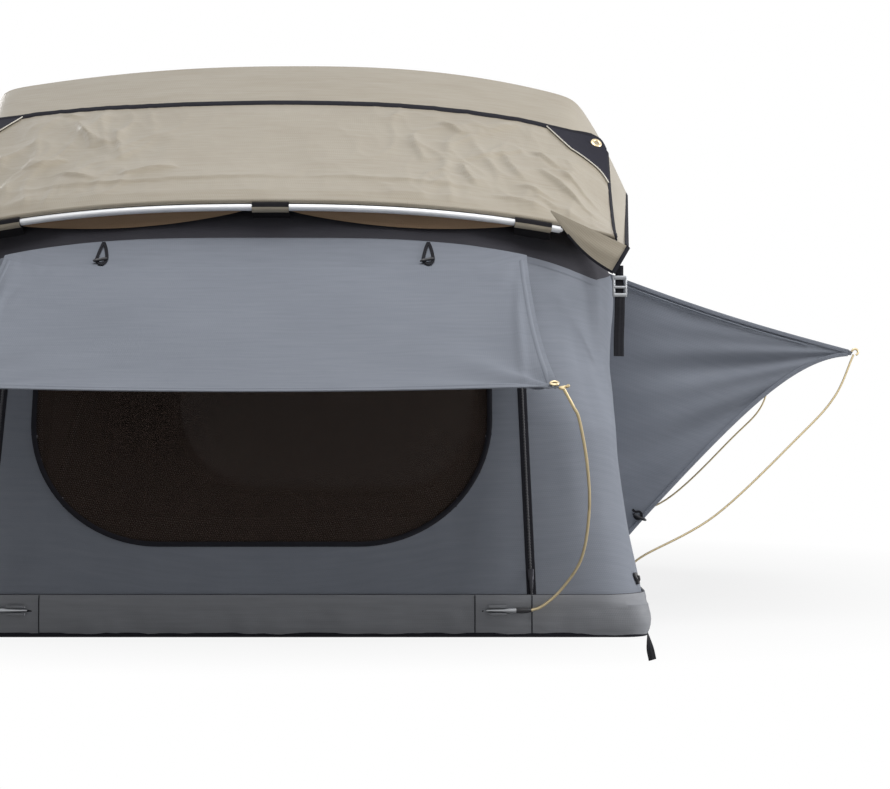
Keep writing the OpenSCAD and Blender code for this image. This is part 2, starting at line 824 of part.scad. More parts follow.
// The porch flap lies turned back on the fly; its stiff corners stand clear of the eaves
function porch_edge(v) =
    let (q = v / porch_share)
    [lerp(tie_half + 4, porch_half, q), fly_edge(v)[1] + 8, lerp(tie_z + 62, eave_z + 79, pow(q, 1.5))];
porch_grid = columns([for (v = porch_along)
    both_halves([for (h = fly_across) fly_point(h, v, porch_edge(v)) + [0, 0, porch_lift]])]);

module porch_flap() {
    color("#B9B0A0") at_hinge() cloth(porch_grid, fly_t);
}

// Point on the flap's corner: a runs out along the free edge, b runs forward down the side
function patch_point(a, b) =
    let (h = lerp(0.76, 0.99, a), v = porch_share * (1 - 0.005 - 0.2 * b * max(a, 0.1)))
    fly_point(h, v, porch_edge(v)) + [0, 0, porch_lift + fly_t + 2];
patch_grid = [for (a = [0 : 0.25 : 1]) [for (b = [1 : -0.25 : 0]) patch_point(a, b)]];

module porch_flap_patches() {
    color(black_trim) at_hinge() both_sides() cloth(patch_grid, 1.5);
}

module porch_flap_grommets() {
    i = 3;
    j = 3;
    n = grid_normal(patch_grid, i, j);
    tilt = acos(n[2]);
    color(zinc_steel) at_hinge() both_sides() translate(patch_grid[i][j] + 4 * n)
        rotate(a = tilt, v = cross([0, 0, 1], n))
            rotate_extrude() translate([grommet_d / 2 - 3, 0]) circle(2);
}

// Front awning and its prop rods

// Grid from the outer edge to the seam; the cloth sags between the rods
function awning_point(s, t) =
    let (half = lerp(awning_edge_half, awning_seam_half, 1 - pow(1 - t, 1.7)),
         sag = 16 * sin(180 * t) * (1 - 0.3 * s * s) + 6 * (1 - s * s) * (1 - t))
    [s * half, lerp(awning_edge_y, seam_y - seam_r - seat, t), lerp(awning_edge_z, awning_seam_z, t) - sag];
awning_grid = [for (s = [-1 : 0.125 : 1]) [for (t = [0 : 0.125 : 1]) awning_point(s, t)]];

module front_awning() {
    color(grey_canvas) at_hinge() cloth(awning_grid, cloth_t);
}

module awning_seam() {
    color(grey_canvas) at_hinge() translate([-awning_seam_half, seam_y, awning_seam_z])
        rotate([0, 90, 0]) cylinder(r = seam_r, h = 2 * awning_seam_half);
}

module awning_eyelets() {
    color(zinc_steel) at_hinge() both_sides()
        translate(awning_point(0.985, 0.015) + [0, 0, cloth_t + 3.2]) rotate([awning_drop, 0, 0])
            rotate_extrude() translate([6, 0]) circle(2);
}

// Rod from the socket on the skirt, out and up to the corner of the awning
rod_start = [socket_x + pocket_l + ferrule_l, -rod_axis_y, socket_z];
rod_end = [awning_edge_half + 6, awning_edge_y - 1, awning_edge_z - 1];
front_rod_points = [
    rod_start, rod_start + [22, -3, 9], rod_start + [54, -18, 40], rod_start + [84, -58, 94],
    rod_start + [92, -130, 176], rod_end + [46, 104, -130], rod_end + [22, 28, -34], rod_end
];

module front_rod() {
    tip = 8;
    translate([socket_x - tip, -rod_axis_y, socket_z]) rotate([0, 90, 0])
        cylinder(d = rod_d, h = pocket_l + tip + 4);
    translate([socket_x + pocket_l + 0.6, -rod_axis_y, socket_z]) rotate([0, 90, 0])
        cylinder(d = ferrule_d, h = ferrule_l - 0.8);
    tube(spline(front_rod_points, 3), rod_d, 8, [0, 1, 0]);
}

module right_front_rod() {
    color(zinc_steel) at_hinge() front_rod();
}

module left_front_rod() {
    color(zinc_steel) at_hinge() mirror([1, 0, 0]) front_rod();
}

// Pocket with a cross bore for the end of a rod
module rod_pocket() {
    difference() {
        translate([0, -pocket_t / 2, -pocket_h / 2]) cube([pocket_l, pocket_t, pocket_h]);
        translate([-over, 0, 0]) rotate([0, 90, 0])
            cylinder(r = rod_d / 2 + pivot_clear, h = pocket_l + 2 * over);
    }
}

module side_rod_pockets() {
    both_sides() translate([skirt_half + seat + pocket_t / 2, -side_rod_y + 60, socket_z])
        rotate([0, 0, 90]) rod_pocket();
}

module front_rod_pockets() {
    color(dark_canvas) at_hinge() {
        both_sides() translate([socket_x, -rod_axis_y, socket_z]) rod_pocket();
        side_rod_pockets();
    }
}

module rear_rod_pockets() {
    color(dark_canvas) at_hinge() rear_half() side_rod_pockets();
}

// Side awnings: a sloping hood with a gusset at its end

side_rod_y = side_awning_l + 8;

// Half-width of the wall at y and z: flared at the foot, taut between the bows above
mid_bend = arch_half(mid_eye_x + bow_edge, bow_crown + bow_edge)[1];
front_bend = arch_half(front_eye_x + bow_edge, bow_crown + bow_edge)[1];
front_bend_r = bow_reach - bow_crown + front_bend[1];
front_bend_y = -front_bend_r * cos(bow_lean) + bow_edge * sin(bow_lean);
front_bend_z = pivot_z + front_bend_r * sin(bow_lean) + bow_edge * cos(bow_lean);
taut_rise = (mid_bend[0] - wall_half) / (pivot_z + mid_reach - bow_crown + mid_bend[1] - flare_z);
taut_run = (front_bend[0] - wall_half - taut_rise * (front_bend_z - flare_z)) / front_bend_y;
function side_wall_x(y, z) =
    z < flare_z ? wall_x(z) : min(wall_half, wall_half + (z - flare_z) * taut_rise + taut_run * y);

function hood_point(s, t) =
    let (y = lerp(-side_awning_l, -split, t))
    [lerp(side_wall_x(y, side_seam_z) + seat, side_tip_half, s), y,
     lerp(side_seam_z, side_tip_z, s) - 14 * sin(180 * s) - 10 * s * sin(90 * t)];

// The gusset's lower edge is drawn in between the tip and the wall, and it is creased
function gusset_low(s) =
    [lerp(wall_x(side_low_z), side_tip_half - 2, s), -side_awning_l,
     lerp(side_low_z, side_tip_z - 6, pow(sin(90 * s), 1 + s / 2))];
function gusset_point(s, t) =
    let (p = lerp(gusset_low(s), hood_point(s, 0), t),
         crease = 20 * sin(540 * s + 200 * t) * s * (1 - s) * t * (1 - t))
    [max(p[0], side_wall_x(p[1], p[2]) + 3 * seat), p[1] + crease, p[2]];
side_awning_grid = [for (s = [0 : 0.0625 : 1]) concat(
    [for (t = [0 : 0.2 : 0.9]) gusset_point(s, t)], [for (t = [0 : 0.2 : 1]) hood_point(s, t)])];

module side_awning() {
    cloth(side_awning_grid, cloth_t);
}

module front_side_awnings() {
    color(grey_canvas) at_hinge() both_sides() side_awning();
}

module rear_side_awnings() {
    color(grey_canvas) at_hinge() rear_half() both_sides() side_awning();
}

side_rod_foot = [skirt_half + seat + pocket_t / 2, -side_rod_y + 60, socket_z];
side_rod_tip = [side_tip_half + 6, -side_rod_y, side_tip_z - 6];
side_rod_points = [
    side_rod_foot + [0, pocket_l - 4, 0], side_rod_foot + [0, 8, 0], side_rod_foot + [0, -4, 0],
    side_rod_foot + [1, -20, 2], side_rod_foot + [8, -46, 14], side_rod_foot + [34, -60, 46],
    side_rod_foot + [180, -60, 128], side_rod_tip + [-110, 0, -164], side_rod_tip + [-38, 0, -84],
    side_rod_tip
];

module side_rod() {
    tube(spline(side_rod_points, 3), rod_d - 0.4, 8, unit([1, 0.3, -1]));
}

module front_side_rods() {
    color(zinc_steel) at_hinge() both_sides() side_rod();
}

module rear_side_rods() {
    color(zinc_steel) at_hinge() rear_half() both_sides() side_rod();
}

// Trim on the end wall

zip_lean = 2;
zip_l = 560;
zip_t = 1.6;

module on_zip() {
    on_end_wall() translate([zip_x, 6, seat]) rotate([0, 0, zip_lean]) children();
}

module front_zips() {
    color(black_trim) at_hinge() both_sides() on_zip()
        translate([-zip_w / 2, 0, 0]) cube([zip_w, zip_l, zip_t]);
}

// Zip slider with its pull, hanging below the body
module zip_slider() {
    on_zip() translate([0, 40, zip_t + seat]) {
        translate([-5, 0, 0]) cube([10, 15, 4]);
        translate([-3, -26, 1]) cube([6, 28, 2]);
    }
}

module right_zip_slider() {
    color("#3A3A3E") at_hinge() zip_slider();
}

module left_zip_slider() {
    color("#3A3A3E") at_hinge() mirror([1, 0, 0]) zip_slider();
}

// Depth of the taut wall behind the flat plane at x, at a distance s up the slope
function wall_sink(x, s) =
    let (share = (s * sin(wall_tilt) + wall_foot_z - flare_z) / (wall_top_z - flare_z),
         corner = wall_half - wall_corner,
         r = canvas_r(corner - (corner - x) / share, front_eye_x, bow_reach),
         y = skirt_end - r * cos(bow_lean) - bow_edge * sin(bow_lean),
         z = pivot_z + r * sin(bow_lean) - bow_edge * cos(bow_lean) - wall_foot_z)
    share * (y * sin(wall_tilt) - z * cos(wall_tilt));

// Cord loop with a crossbar, drawn lying on the cloth it is sewn to
module toggle() {
    loop_w = 4;
    bar_w = 22;
    translate([-loop_w / 2, 0, 0]) cube([loop_w, 30, 3]);
    translate([-bar_w / 2, 3, 0]) cube([bar_w, 5, 5]);
}

// Point on the rounded corner of the wall, an angle round from its side
function corner_point(a, z) =
    [wall_x(z) - wall_corner * (1 - cos(a)), end_y(z) + wall_corner * (1 - sin(a)), z];

// Small hook on the corner of the wall, just above the skirt
module corner_hook() {
    grid = [for (a = [33.5, 30, 26.5]) [for (z = [84, 94, 104]) corner_point(a, z)]];
    cloth(lifted(grid, seat), 6);
}

// Toggles that tie the awning up at the top of the wall, toggles at the foot of the gussets, corner hooks
module front_toggles() {
    toggle_x = 290;
    toggle_s = (awning_seam_z - wall_foot_z) / sin(wall_tilt) + 10;
    gusset_toggle = [wall_x(side_low_z) + 48, -side_awning_l - cloth_t - seat, side_low_z + 66];
    color(black_trim) at_hinge() both_sides() {
        on_end_wall() translate([toggle_x, toggle_s, seat - wall_sink(toggle_x - 11, toggle_s)]) toggle();
        translate(gusset_toggle) rotate([90, 0, 0]) toggle();
        corner_hook();
    }
}

// Buckles and webbing tails below the tied corners of the fly, clear of the wall
buckle_x = tie_half + webbing_w / 2;
buckle_w = webbing_w + 6;
buckle_foot = tie_z - buckle_h - seat;

module fly_buckle() {
    slot_h = 8;
    translate([buckle_x - buckle_w / 2, fly_edge(0)[1] - buckle_t / 2, buckle_foot]) difference() {
        cube([buckle_w, buckle_t, buckle_h]);
        for (z = [slot_h, buckle_h - 2 * slot_h])
            translate([4, -over, z]) cube([buckle_w - 8, buckle_t + 2 * over, slot_h]);
    }
}

module fly_tail() {
    translate([buckle_x - webbing_w / 2, fly_edge(0)[1] - webbing_t / 2, buckle_foot - seat - tail_l])
        cube([webbing_w, webbing_t, tail_l]);
}

module front_fly_buckles() {
    color(black_trim) at_hinge() both_sides() fly_buckle();
}

module rear_fly_buckles() {
    color(black_trim) at_hinge() rear_half() both_sides() fly_buckle();
}

module front_fly_tails() {
    color(black_trim) at_hinge() both_sides() fly_tail();
}

module rear_fly_tails() {
    color(black_trim) at_hinge() rear_half() both_sides() fly_tail();
}

// Webbing that hangs from the corners of the skirt
module corner_strap() {
    translate([skirt_half + seat, -skirt_end + wall_corner / 2 + 4, -strap_drop])
        cube([webbing_t, webbing_w, strap_drop + rail_h / 2]);
}

module front_corner_straps() {
    color(black_trim) at_hinge() both_sides() corner_strap();
}

module rear_corner_straps() {
    color(black_trim) at_hinge() rear_half() both_sides() corner_strap();
}

rack_channels();
channel_bolts();
rear_base_frame();
front_base_frame();
rear_floor_panel();
front_floor_panel();
rear_mattress();
front_mattress();
rear_hinge_brackets();
front_hinge_brackets();
pivot_bolts();
pivot_nuts();
pivot_spacers();
front_bow();
mid_bow();
rear_bow();
front_bow_eyes();
mid_bow_eyes();
rear_bow_eyes();
front_fly_pole();
mid_fly_pole();
rear_fly_pole();
front_pole_tabs();
mid_pole_tabs();
rear_pole_tabs();
front_canvas();
rear_canvas();
front_window_mesh();
rear_window_mesh();
front_side_meshes();
rear_side_meshes();
front_fly();
rear_fly();
porch_flap();
porch_flap_patches();
porch_flap_grommets();
front_awning();
awning_seam();
awning_eyelets();
right_front_rod();
left_front_rod();
front_rod_pockets();
rear_rod_pockets();
front_zips();
right_zip_slider();
left_zip_slider();
front_side_awnings();
rear_side_awnings();
front_side_rods();
rear_side_rods();
front_skirt();
rear_skirt();
front_toggles();
front_fly_buckles();
rear_fly_buckles();
front_fly_tails();
rear_fly_tails();
front_corner_straps();
rear_corner_straps();
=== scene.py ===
import json
import math

import bpy
import numpy as np
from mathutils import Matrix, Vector, noise
from mathutils.bvhtree import BVHTree


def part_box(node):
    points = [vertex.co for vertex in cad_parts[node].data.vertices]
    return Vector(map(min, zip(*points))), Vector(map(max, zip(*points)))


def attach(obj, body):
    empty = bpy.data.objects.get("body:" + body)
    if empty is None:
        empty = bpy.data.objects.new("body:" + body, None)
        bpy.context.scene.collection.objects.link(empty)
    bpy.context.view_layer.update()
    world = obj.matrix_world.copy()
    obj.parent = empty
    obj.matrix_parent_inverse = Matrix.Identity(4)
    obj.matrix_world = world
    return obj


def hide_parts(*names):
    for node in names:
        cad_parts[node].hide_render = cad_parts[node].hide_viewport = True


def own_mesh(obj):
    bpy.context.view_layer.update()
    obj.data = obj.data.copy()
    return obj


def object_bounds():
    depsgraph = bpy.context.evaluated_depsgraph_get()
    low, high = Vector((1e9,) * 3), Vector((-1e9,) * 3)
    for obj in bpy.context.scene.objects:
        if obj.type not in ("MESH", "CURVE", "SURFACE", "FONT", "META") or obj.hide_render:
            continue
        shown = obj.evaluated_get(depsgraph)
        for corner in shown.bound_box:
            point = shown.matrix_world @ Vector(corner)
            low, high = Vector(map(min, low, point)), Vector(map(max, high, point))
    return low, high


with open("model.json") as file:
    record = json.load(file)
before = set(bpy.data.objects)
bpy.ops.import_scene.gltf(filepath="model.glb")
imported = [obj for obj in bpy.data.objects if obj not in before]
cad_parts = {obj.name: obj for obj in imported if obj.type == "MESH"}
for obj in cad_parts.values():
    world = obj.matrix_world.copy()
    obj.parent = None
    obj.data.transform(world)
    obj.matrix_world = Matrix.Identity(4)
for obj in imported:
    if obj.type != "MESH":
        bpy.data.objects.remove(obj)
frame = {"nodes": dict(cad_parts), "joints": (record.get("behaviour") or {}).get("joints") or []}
cad_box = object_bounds()

# Rack channels, base frames, bows and bow eyes.
# Extruded and drawn aluminium, sawn to length and left with a fine satin draw line. The channels are bolted
# under the rear frame; the bows turn on the hinge bolts.


def linear(code):
    """sRGB hex to linear RGBA."""
    parts = [int(code[i:i + 2], 16) / 255 for i in (1, 3, 5)]
    return tuple(c / 12.92 if c <= 0.04045 else ((c + 0.055) / 1.055) ** 2.4 for c in parts) + (1.0,)


def feed(tree, node, links):
    """Gives values or sockets to the inputs of a shader node."""
    for key, value in links.items():
        if isinstance(value, bpy.types.NodeSocket):
            tree.links.new(value, node.inputs[key])
        else:
            node.inputs[key].default_value = value


def add(tree, kind, links=None, **settings):
    """Adds a shader node: settings are its properties, links are values or sockets for its inputs."""
    made = tree.nodes.new(kind)
    for key, value in settings.items():
        setattr(made, key, value)
    feed(tree, made, links or {})
    return made


def new_finish(name):
    """An empty material with its tree and its principled shader."""
    made = bpy.data.materials.new(name)
    made.use_nodes = True
    return made, made.node_tree, made.node_tree.nodes["Principled BSDF"]


def drawn_metal(name, colour, dark, roughness, line_mm, grain=0.08, metallic=1.0):
    """Drawn or extruded metal: lines along the part, drawn coarser than real to show, and patches of handling haze."""
    made, tree, shader = new_finish(name)
    place = add(tree, "ShaderNodeTexCoord").outputs["Object"]
    lines = add(tree, "ShaderNodeMapping", {"Vector": place, "Scale": (4.0, 1000 / line_mm, 1000 / line_mm)})
    streak = add(tree, "ShaderNodeTexNoise", {"Vector": lines.outputs[0], "Scale": 1.0, "Detail": 3.0})
    haze = add(tree, "ShaderNodeTexNoise", {"Vector": place, "Scale": 14.0, "Detail": 4.0})
    tone = add(tree, "ShaderNodeMix", {"Factor": haze.outputs["Fac"], "A": linear(dark), "B": linear(colour)},
               data_type="RGBA")
    rough = add(tree, "ShaderNodeMapRange", {"Value": streak.outputs["Fac"], "To Min": roughness - grain,
                                             "To Max": roughness + grain})
    bump = add(tree, "ShaderNodeBump", {"Height": streak.outputs["Fac"], "Strength": grain, "Distance": 0.001})
    feed(tree, shader, {"Base Color": tone.outputs["Result"], "Roughness": rough.outputs[0],
                        "Normal": bump.outputs[0], "Metallic": metallic})
    return made


def paint(material, *nodes):
    """Gives CAD nodes a finish."""
    for name in nodes:
        slots = frame["nodes"][name].data.materials
        slots.clear()
        slots.append(material)


# drawn and lightly etched aluminium: a soft grey shine that is streaked along the length
satin_aluminium = drawn_metal("satin drawn aluminium", "#D5D8DC", "#B4B8BD", 0.32, 1.5)
paint(satin_aluminium, "rack_channels", "rear_base_frame", "front_base_frame", "front_bow", "mid_bow", "rear_bow",
      "front_bow_eyes", "mid_bow_eyes", "rear_bow_eyes")

# Channel bolts, hinge brackets, pivot bolts, nuts and spacers.
# Pressed and turned steel with a bright zinc plate; the spacers between the bow eyes are black nylon.

# bright zinc plate: cooler and darker than aluminium, with broken highlights
zinc_plate = drawn_metal("bright zinc-plated steel", "#B9BBBE", "#8F9296", 0.38, 2.0)
paint(zinc_plate, "channel_bolts", "rear_hinge_brackets", "front_hinge_brackets", "pivot_bolts", "pivot_nuts")


def moulded(name, colour, worn, roughness, grain_mm):
    """Moulded plastic: a spark-eroded grain, drawn coarser than real to show, that breaks up the shine."""
    made, tree, shader = new_finish(name)
    place = add(tree, "ShaderNodeTexCoord").outputs["Object"]
    grain = add(tree, "ShaderNodeTexNoise", {"Vector": place, "Scale": 1000 / grain_mm, "Detail": 2.0})
    cloud = add(tree, "ShaderNodeTexNoise", {"Vector": place, "Scale": 40.0, "Detail": 3.0})
    tone = add(tree, "ShaderNodeMix", {"Factor": cloud.outputs["Fac"], "A": linear(colour), "B": linear(worn)},
               data_type="RGBA")
    bump = add(tree, "ShaderNodeBump", {"Height": grain.outputs["Fac"], "Strength": 0.12, "Distance": 0.0006})
    feed(tree, shader, {"Base Color": tone.outputs["Result"], "Normal": bump.outputs[0], "Roughness": roughness})
    return made


# moulded nylon: near black with a wide dull highlight
black_nylon = moulded("moulded black nylon", "#1E1E22", "#2C2C31", 0.42, 1.2)
paint(black_nylon, "pivot_spacers")

# Floor panels.
# Foam-core board with a grey embossed skin, glued into the rails from below.

# embossed polyester skin: an even grey with a fine pebble that kills the gloss
panel_skin = moulded("embossed panel skin", "#7C7F83", "#86898C", 0.6, 4.0)
paint(panel_skin, "rear_floor_panel", "front_floor_panel")

# Mattresses, front and rear.
# A foam block in a sewn cover of dark woven polyester, crowned on top and drawn in at the edges, with a piped
# seam round the top. They lie loose on the panels and are pressed flat when the base is folded.
fold = next(j for j in frame["joints"] if j["name"] == "base_fold")
pivot_z = 107  # the hinge bolts, above the underside of the rails
tent_origin = np.array([0, fold["pos_m"][1], fold["pos_m"][2] - pivot_z / 1000])
# each half of the tent: its name, its body, and the side of the hinge line on which it lies
halves = (("front", "base_front", -1), ("rear", "base_rear", 1))


def to_row(points):
    """Millimetres from the hinge line and the underside of the rails, to metres in the row frame."""
    return np.asarray(points, float) / 1000 + tent_origin


def to_tent(points):
    """The other way round."""
    return (np.asarray(points, float) - tent_origin) * 1000


def tent_box(node):
    """Low and high corner of a CAD node, in tent millimetres."""
    return [to_tent(p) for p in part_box(node)]


def run_along(path):
    """Distance from the start of a path to each of its points."""
    return np.concatenate([[0], np.cumsum(np.linalg.norm(np.diff(path, axis=0), axis=1))])


def grid_normals(grid):
    """Unit normals of a grid of points."""
    across = np.cross(np.gradient(grid, axis=0), np.gradient(grid, axis=1))
    return across / (np.linalg.norm(across, axis=-1, keepdims=True) + 1e-9)


class Piece:
    """Points in tent millimetres, faces and cloth coordinates, gathered into one Blender object."""

    def __init__(self):
        self.points, self.faces, self.uvs, self.finish_of = [], [], [], []

    def put(self, points, faces, uvs, finish=0):
        """Adds points with their cloth coordinates, and faces of one finish."""
        start = sum(len(p) for p in self.points)
        self.points.append(np.asarray(points, float))
        self.uvs.append(np.asarray(uvs, float))
        self.faces += [tuple(start + k for k in f) for f in faces]
        self.finish_of += [finish] * len(faces)
        return self

    def sheet(self, grid, thick, cells=None, finish=0, high=None):
        """Cloth of even thickness on a grid. cells marks the squares that stay; high the ones of finish 1."""
        g = np.asarray(grid, float)
        m, n, _ = g.shape
        u = np.vstack([np.zeros((1, n)), np.cumsum(np.linalg.norm(np.diff(g, axis=0), axis=2), axis=0)])
        v = np.hstack([np.zeros((m, 1)), np.cumsum(np.linalg.norm(np.diff(g, axis=1), axis=2), axis=1)])
        uv = np.stack([u, v], axis=2).reshape(-1, 2) / 1000
        index = np.arange(m * n).reshape(m, n)
        keep = np.ones((m - 1, n - 1), bool) if cells is None else cells
        a, b, c, d = index[:-1, :-1], index[1:, :-1], index[1:, 1:], index[:-1, 1:]
        h = m * n
        edged = np.pad(keep, 1)
        sides = [(a, b, edged[1:-1, :-2]), (b, c, edged[2:, 1:-1]),
                 (c, d, edged[1:-1, 2:]), (d, a, edged[:-2, 1:-1])]
        faces, finishes = [], []
        tone = np.full(keep.shape, finish) if high is None else np.where(high, 1, finish)
        for (i, j) in np.argwhere(keep):
            p, q, r, s = a[i, j], b[i, j], c[i, j], d[i, j]
            faces += [(h + p, h + q, h + r, h + s), (p, s, r, q)]
            finishes += [tone[i, j]] * 2
            for (e, f, near) in sides:
                if not near[i, j]:
                    faces.append((h + f[i, j], h + e[i, j], e[i, j], f[i, j]))
                    finishes.append(tone[i, j])
        start = sum(len(p) for p in self.points)
        self.points.append(np.concatenate([g.reshape(-1, 3), (g + grid_normals(g) * thick).reshape(-1, 3)]))
        self.uvs.append(np.concatenate([uv, uv]))
        self.faces += [tuple(int(start + k) for k in f) for f in faces]
        self.finish_of += [int(k) for k in finishes]
        return self

    def sweep(self, path, normals, wide, thick, sides=10, square=2.0, finish=0, lower=None):
        """A band or rod along a path: wide across the normal, thick along it; square 2 is round, 4 is boxy."""
        p = np.asarray(path, float)
        n = np.broadcast_to(np.asarray(normals, float), p.shape).copy()
        t = np.gradient(p, axis=0)
        t /= np.linalg.norm(t, axis=1, keepdims=True) + 1e-9
        n -= t * np.sum(n * t, axis=1, keepdims=True)
        n /= np.linalg.norm(n, axis=1, keepdims=True) + 1e-9
        w = np.cross(t, n)
        angle = np.linspace(0, 2 * np.pi, sides, endpoint=False)
        shape = lambda q: np.sign(q) * np.abs(q) ** (2 / square)
        cs, sn = shape(np.cos(angle)), shape(np.sin(angle))
        wide, thick = (np.broadcast_to(np.asarray(k, float), (len(p),)) for k in (wide, thick))
        ring = (p[:, None] + w[:, None] * (cs[None, :, None] * wide[:, None, None] / 2)
                + n[:, None] * (sn[None, :, None] * thick[:, None, None] / 2))
        run = run_along(p)
        girth = angle[None] * np.mean(wide) / 6.3  # about the width in a full turn
        uv = np.stack([np.repeat(run[:, None], sides, 1), np.repeat(girth, len(p), 0)], 2)
        count = len(p)
        faces, finishes = [], []
        for i in range(count - 1):
            for k in range(sides):
                k2 = (k + 1) % sides
                faces.append((i * sides + k, i * sides + k2, (i + 1) * sides + k2, (i + 1) * sides + k))
                finishes.append(lower if lower is not None and sn[k] + sn[k2] < 0 else finish)
        faces += [tuple(range(sides))[::-1], tuple((count - 1) * sides + k for k in range(sides))]
        finishes += [finish] * 2
        self.put(ring.reshape(-1, 3), faces, uv.reshape(-1, 2) / 1000)
        self.finish_of[-len(faces):] = finishes
        return self

    def tape(self, path, normals, wide, thick, finish=0):
        """A flat sewn tape or hem."""
        return self.sweep(path, normals, wide, thick, sides=8, square=3, finish=finish)

    def stack(self, rings, finish=0):
        """A closed skin over rings with equal counts."""
        r = np.asarray(rings, float)
        m, n, _ = r.shape
        faces = [(i * n + k, i * n + (k + 1) % n, (i + 1) * n + (k + 1) % n, (i + 1) * n + k)
                 for i in range(m - 1) for k in range(n)]
        faces += [tuple(range(n))[::-1], tuple((m - 1) * n + k for k in range(n))]
        around = np.cumsum(np.linalg.norm(r - np.roll(r, 1, axis=1), axis=2), axis=1)
        up = np.repeat(np.cumsum(np.linalg.norm(r[:, 0] - np.roll(r[:, 0], 1, axis=0), axis=1))[:, None], n, 1)
        return self.put(r.reshape(-1, 3), faces, np.stack([around, up], 2).reshape(-1, 2) / 1000, finish)

    def mirrored(self, axis):
        """Adds the mirror image across the middle plane of an axis."""
        p, u = np.concatenate(self.points), np.concatenate(self.uvs)
        other = p.copy()
        other[:, axis] *= -1
        count, finishes = len(p), list(self.finish_of)
        faces = [tuple(count + k for k in f[::-1]) for f in self.faces]
        self.points, self.uvs = [p, other], [u, u]
        self.faces += faces
        self.finish_of += finishes
        return self

    def object(self, name, *finishes, crease=50):
        """Makes the Blender object. Edges sharper than crease degrees stay sharp."""
        mesh = bpy.data.meshes.new(name)
        uv = np.concatenate(self.uvs)
        mesh.from_pydata(to_row(np.concatenate(self.points)).tolist(), [], self.faces)
        corner = np.zeros(len(mesh.loops), np.int32)
        mesh.loops.foreach_get("vertex_index", corner)
        mesh.uv_layers.new(name="cloth").data.foreach_set("uv", uv[corner].astype(np.float32).ravel())
        mesh.polygons.foreach_set("use_smooth", np.ones(len(mesh.polygons), bool))
        mesh.polygons.foreach_set("material_index", np.array(self.finish_of, np.int32))
        for f in finishes:
            mesh.materials.append(f)
        mesh.set_sharp_from_angle(angle=math.radians(crease))
        mesh.validate()
        made = bpy.data.objects.new(name, mesh)
        bpy.context.scene.collection.objects.link(made)
        return made


def woven(name, colour, worn, thread_mm, roughness, weave=0.25, cloud=0.6, sheen=0.0, shine=0.5):
    """Woven cloth: crossed threads, drawn as coarse as they need to show, with slubs and clouds of tone."""
    made, tree, shader = new_finish(name)
    cloth = add(tree, "ShaderNodeTexCoord").outputs["UV"]
    bands = 0.314 * 1000 / thread_mm  # a wave of scale 1 has a band every 0.314 m
    thread = {"Vector": cloth, "Scale": bands, "Distortion": 0.6, "Detail": 1.0}
    warp, weft = (add(tree, "ShaderNodeTexWave", thread, bands_direction=d).outputs["Fac"] for d in "XY")
    cross = add(tree, "ShaderNodeMath", {0: warp, 1: weft}, operation="ADD")
    slub_place = add(tree, "ShaderNodeMapping", {"Vector": cloth, "Scale": (12.0, 400 / thread_mm, 1.0)})
    slub = add(tree, "ShaderNodeTexNoise", {"Vector": slub_place.outputs[0], "Scale": 1.0, "Detail": 2.0})
    patch = add(tree, "ShaderNodeTexNoise", {"Vector": cloth, "Scale": 5.0, "Detail": 5.0})
    both = add(tree, "ShaderNodeMath", {0: slub.outputs["Fac"], 1: patch.outputs["Fac"]}, operation="ADD")
    spread = add(tree, "ShaderNodeMapRange", {"Value": both.outputs[0], "From Min": 0.6, "From Max": 1.4,
                                              "To Min": 0.5 - cloud / 2, "To Max": 0.5 + cloud / 2})
    tone = add(tree, "ShaderNodeMix", {"Factor": spread.outputs[0], "A": linear(colour), "B": linear(worn)},
               data_type="RGBA")
    bump = add(tree, "ShaderNodeBump", {"Height": cross.outputs[0], "Strength": weave, "Distance": 0.0008})
    feed(tree, shader, {"Base Color": tone.outputs["Result"], "Normal": bump.outputs[0], "Roughness": roughness,
                        "Sheen Weight": sheen, "Specular IOR Level": shine})
    return made


def arc(x, y, r, start, end, count):
    """Points on an arc about x, y, from one angle to another in degrees."""
    return [(x + r * math.cos(a), y + r * math.sin(a)) for a in np.radians(np.linspace(start, end, count))]


def rounded_ring(half, low, high, corner, z):
    """A rounded rectangle from x -half to half and y low to high."""
    ring = []
    for (cx, cy, start) in ((half - corner, high - corner, 0), (-half + corner, high - corner, 90),
                            (-half + corner, low + corner, 180), (half - corner, low + corner, 270)):
        ring += [(x, y, z) for (x, y) in arc(cx, cy, corner, start, start + 90, 10)]
    return ring


pad_corner = 40
# height as a share of the pad, and how far the cover is drawn in there
pad_levels = ((0, 10), (0.12, 2), (0.3, 0), (0.55, 0), (0.75, 2), (0.84, 8), (0.9, 30), (0.95, 90), (0.985, 190),
              (1, 330))
# woven polyester: dark and matt, with a faint bloom at grazing angles
mattress_cover = woven("woven polyester mattress cover", "#3B3D43", "#45474D", 2.5, 0.85, sheen=0.2)
for half_name, body, side in halves:
    low, high = tent_box(half_name + "_mattress")
    tall = high[2] - low[2]
    pad = Piece()
    pad.stack([rounded_ring(high[0] - draw, low[1] + draw, high[1] - draw, pad_corner, low[2] + tall * share)
               for (share, draw) in pad_levels])
    rim = np.array(rounded_ring(high[0] - 4, low[1] + 4, high[1] - 4, pad_corner, low[2] + 0.78 * tall))
    pad.sweep(np.vstack([rim, rim[:1]]), (0, 0, 1), 5, 5, sides=8)
    cushion = pad.object(half_name + "_mattress_cover", mattress_cover, crease=80)
    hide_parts(half_name + "_mattress")
    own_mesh(cushion)
    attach(cushion, body)

# Skirts round the base.
# Heavy coated polyester, padded where it wraps the rails, with a lapped seam at the top, black binding at the
# bottom and upright seams beside the rod pockets. It is stapled to the rails and lapped over the foot of the wall.

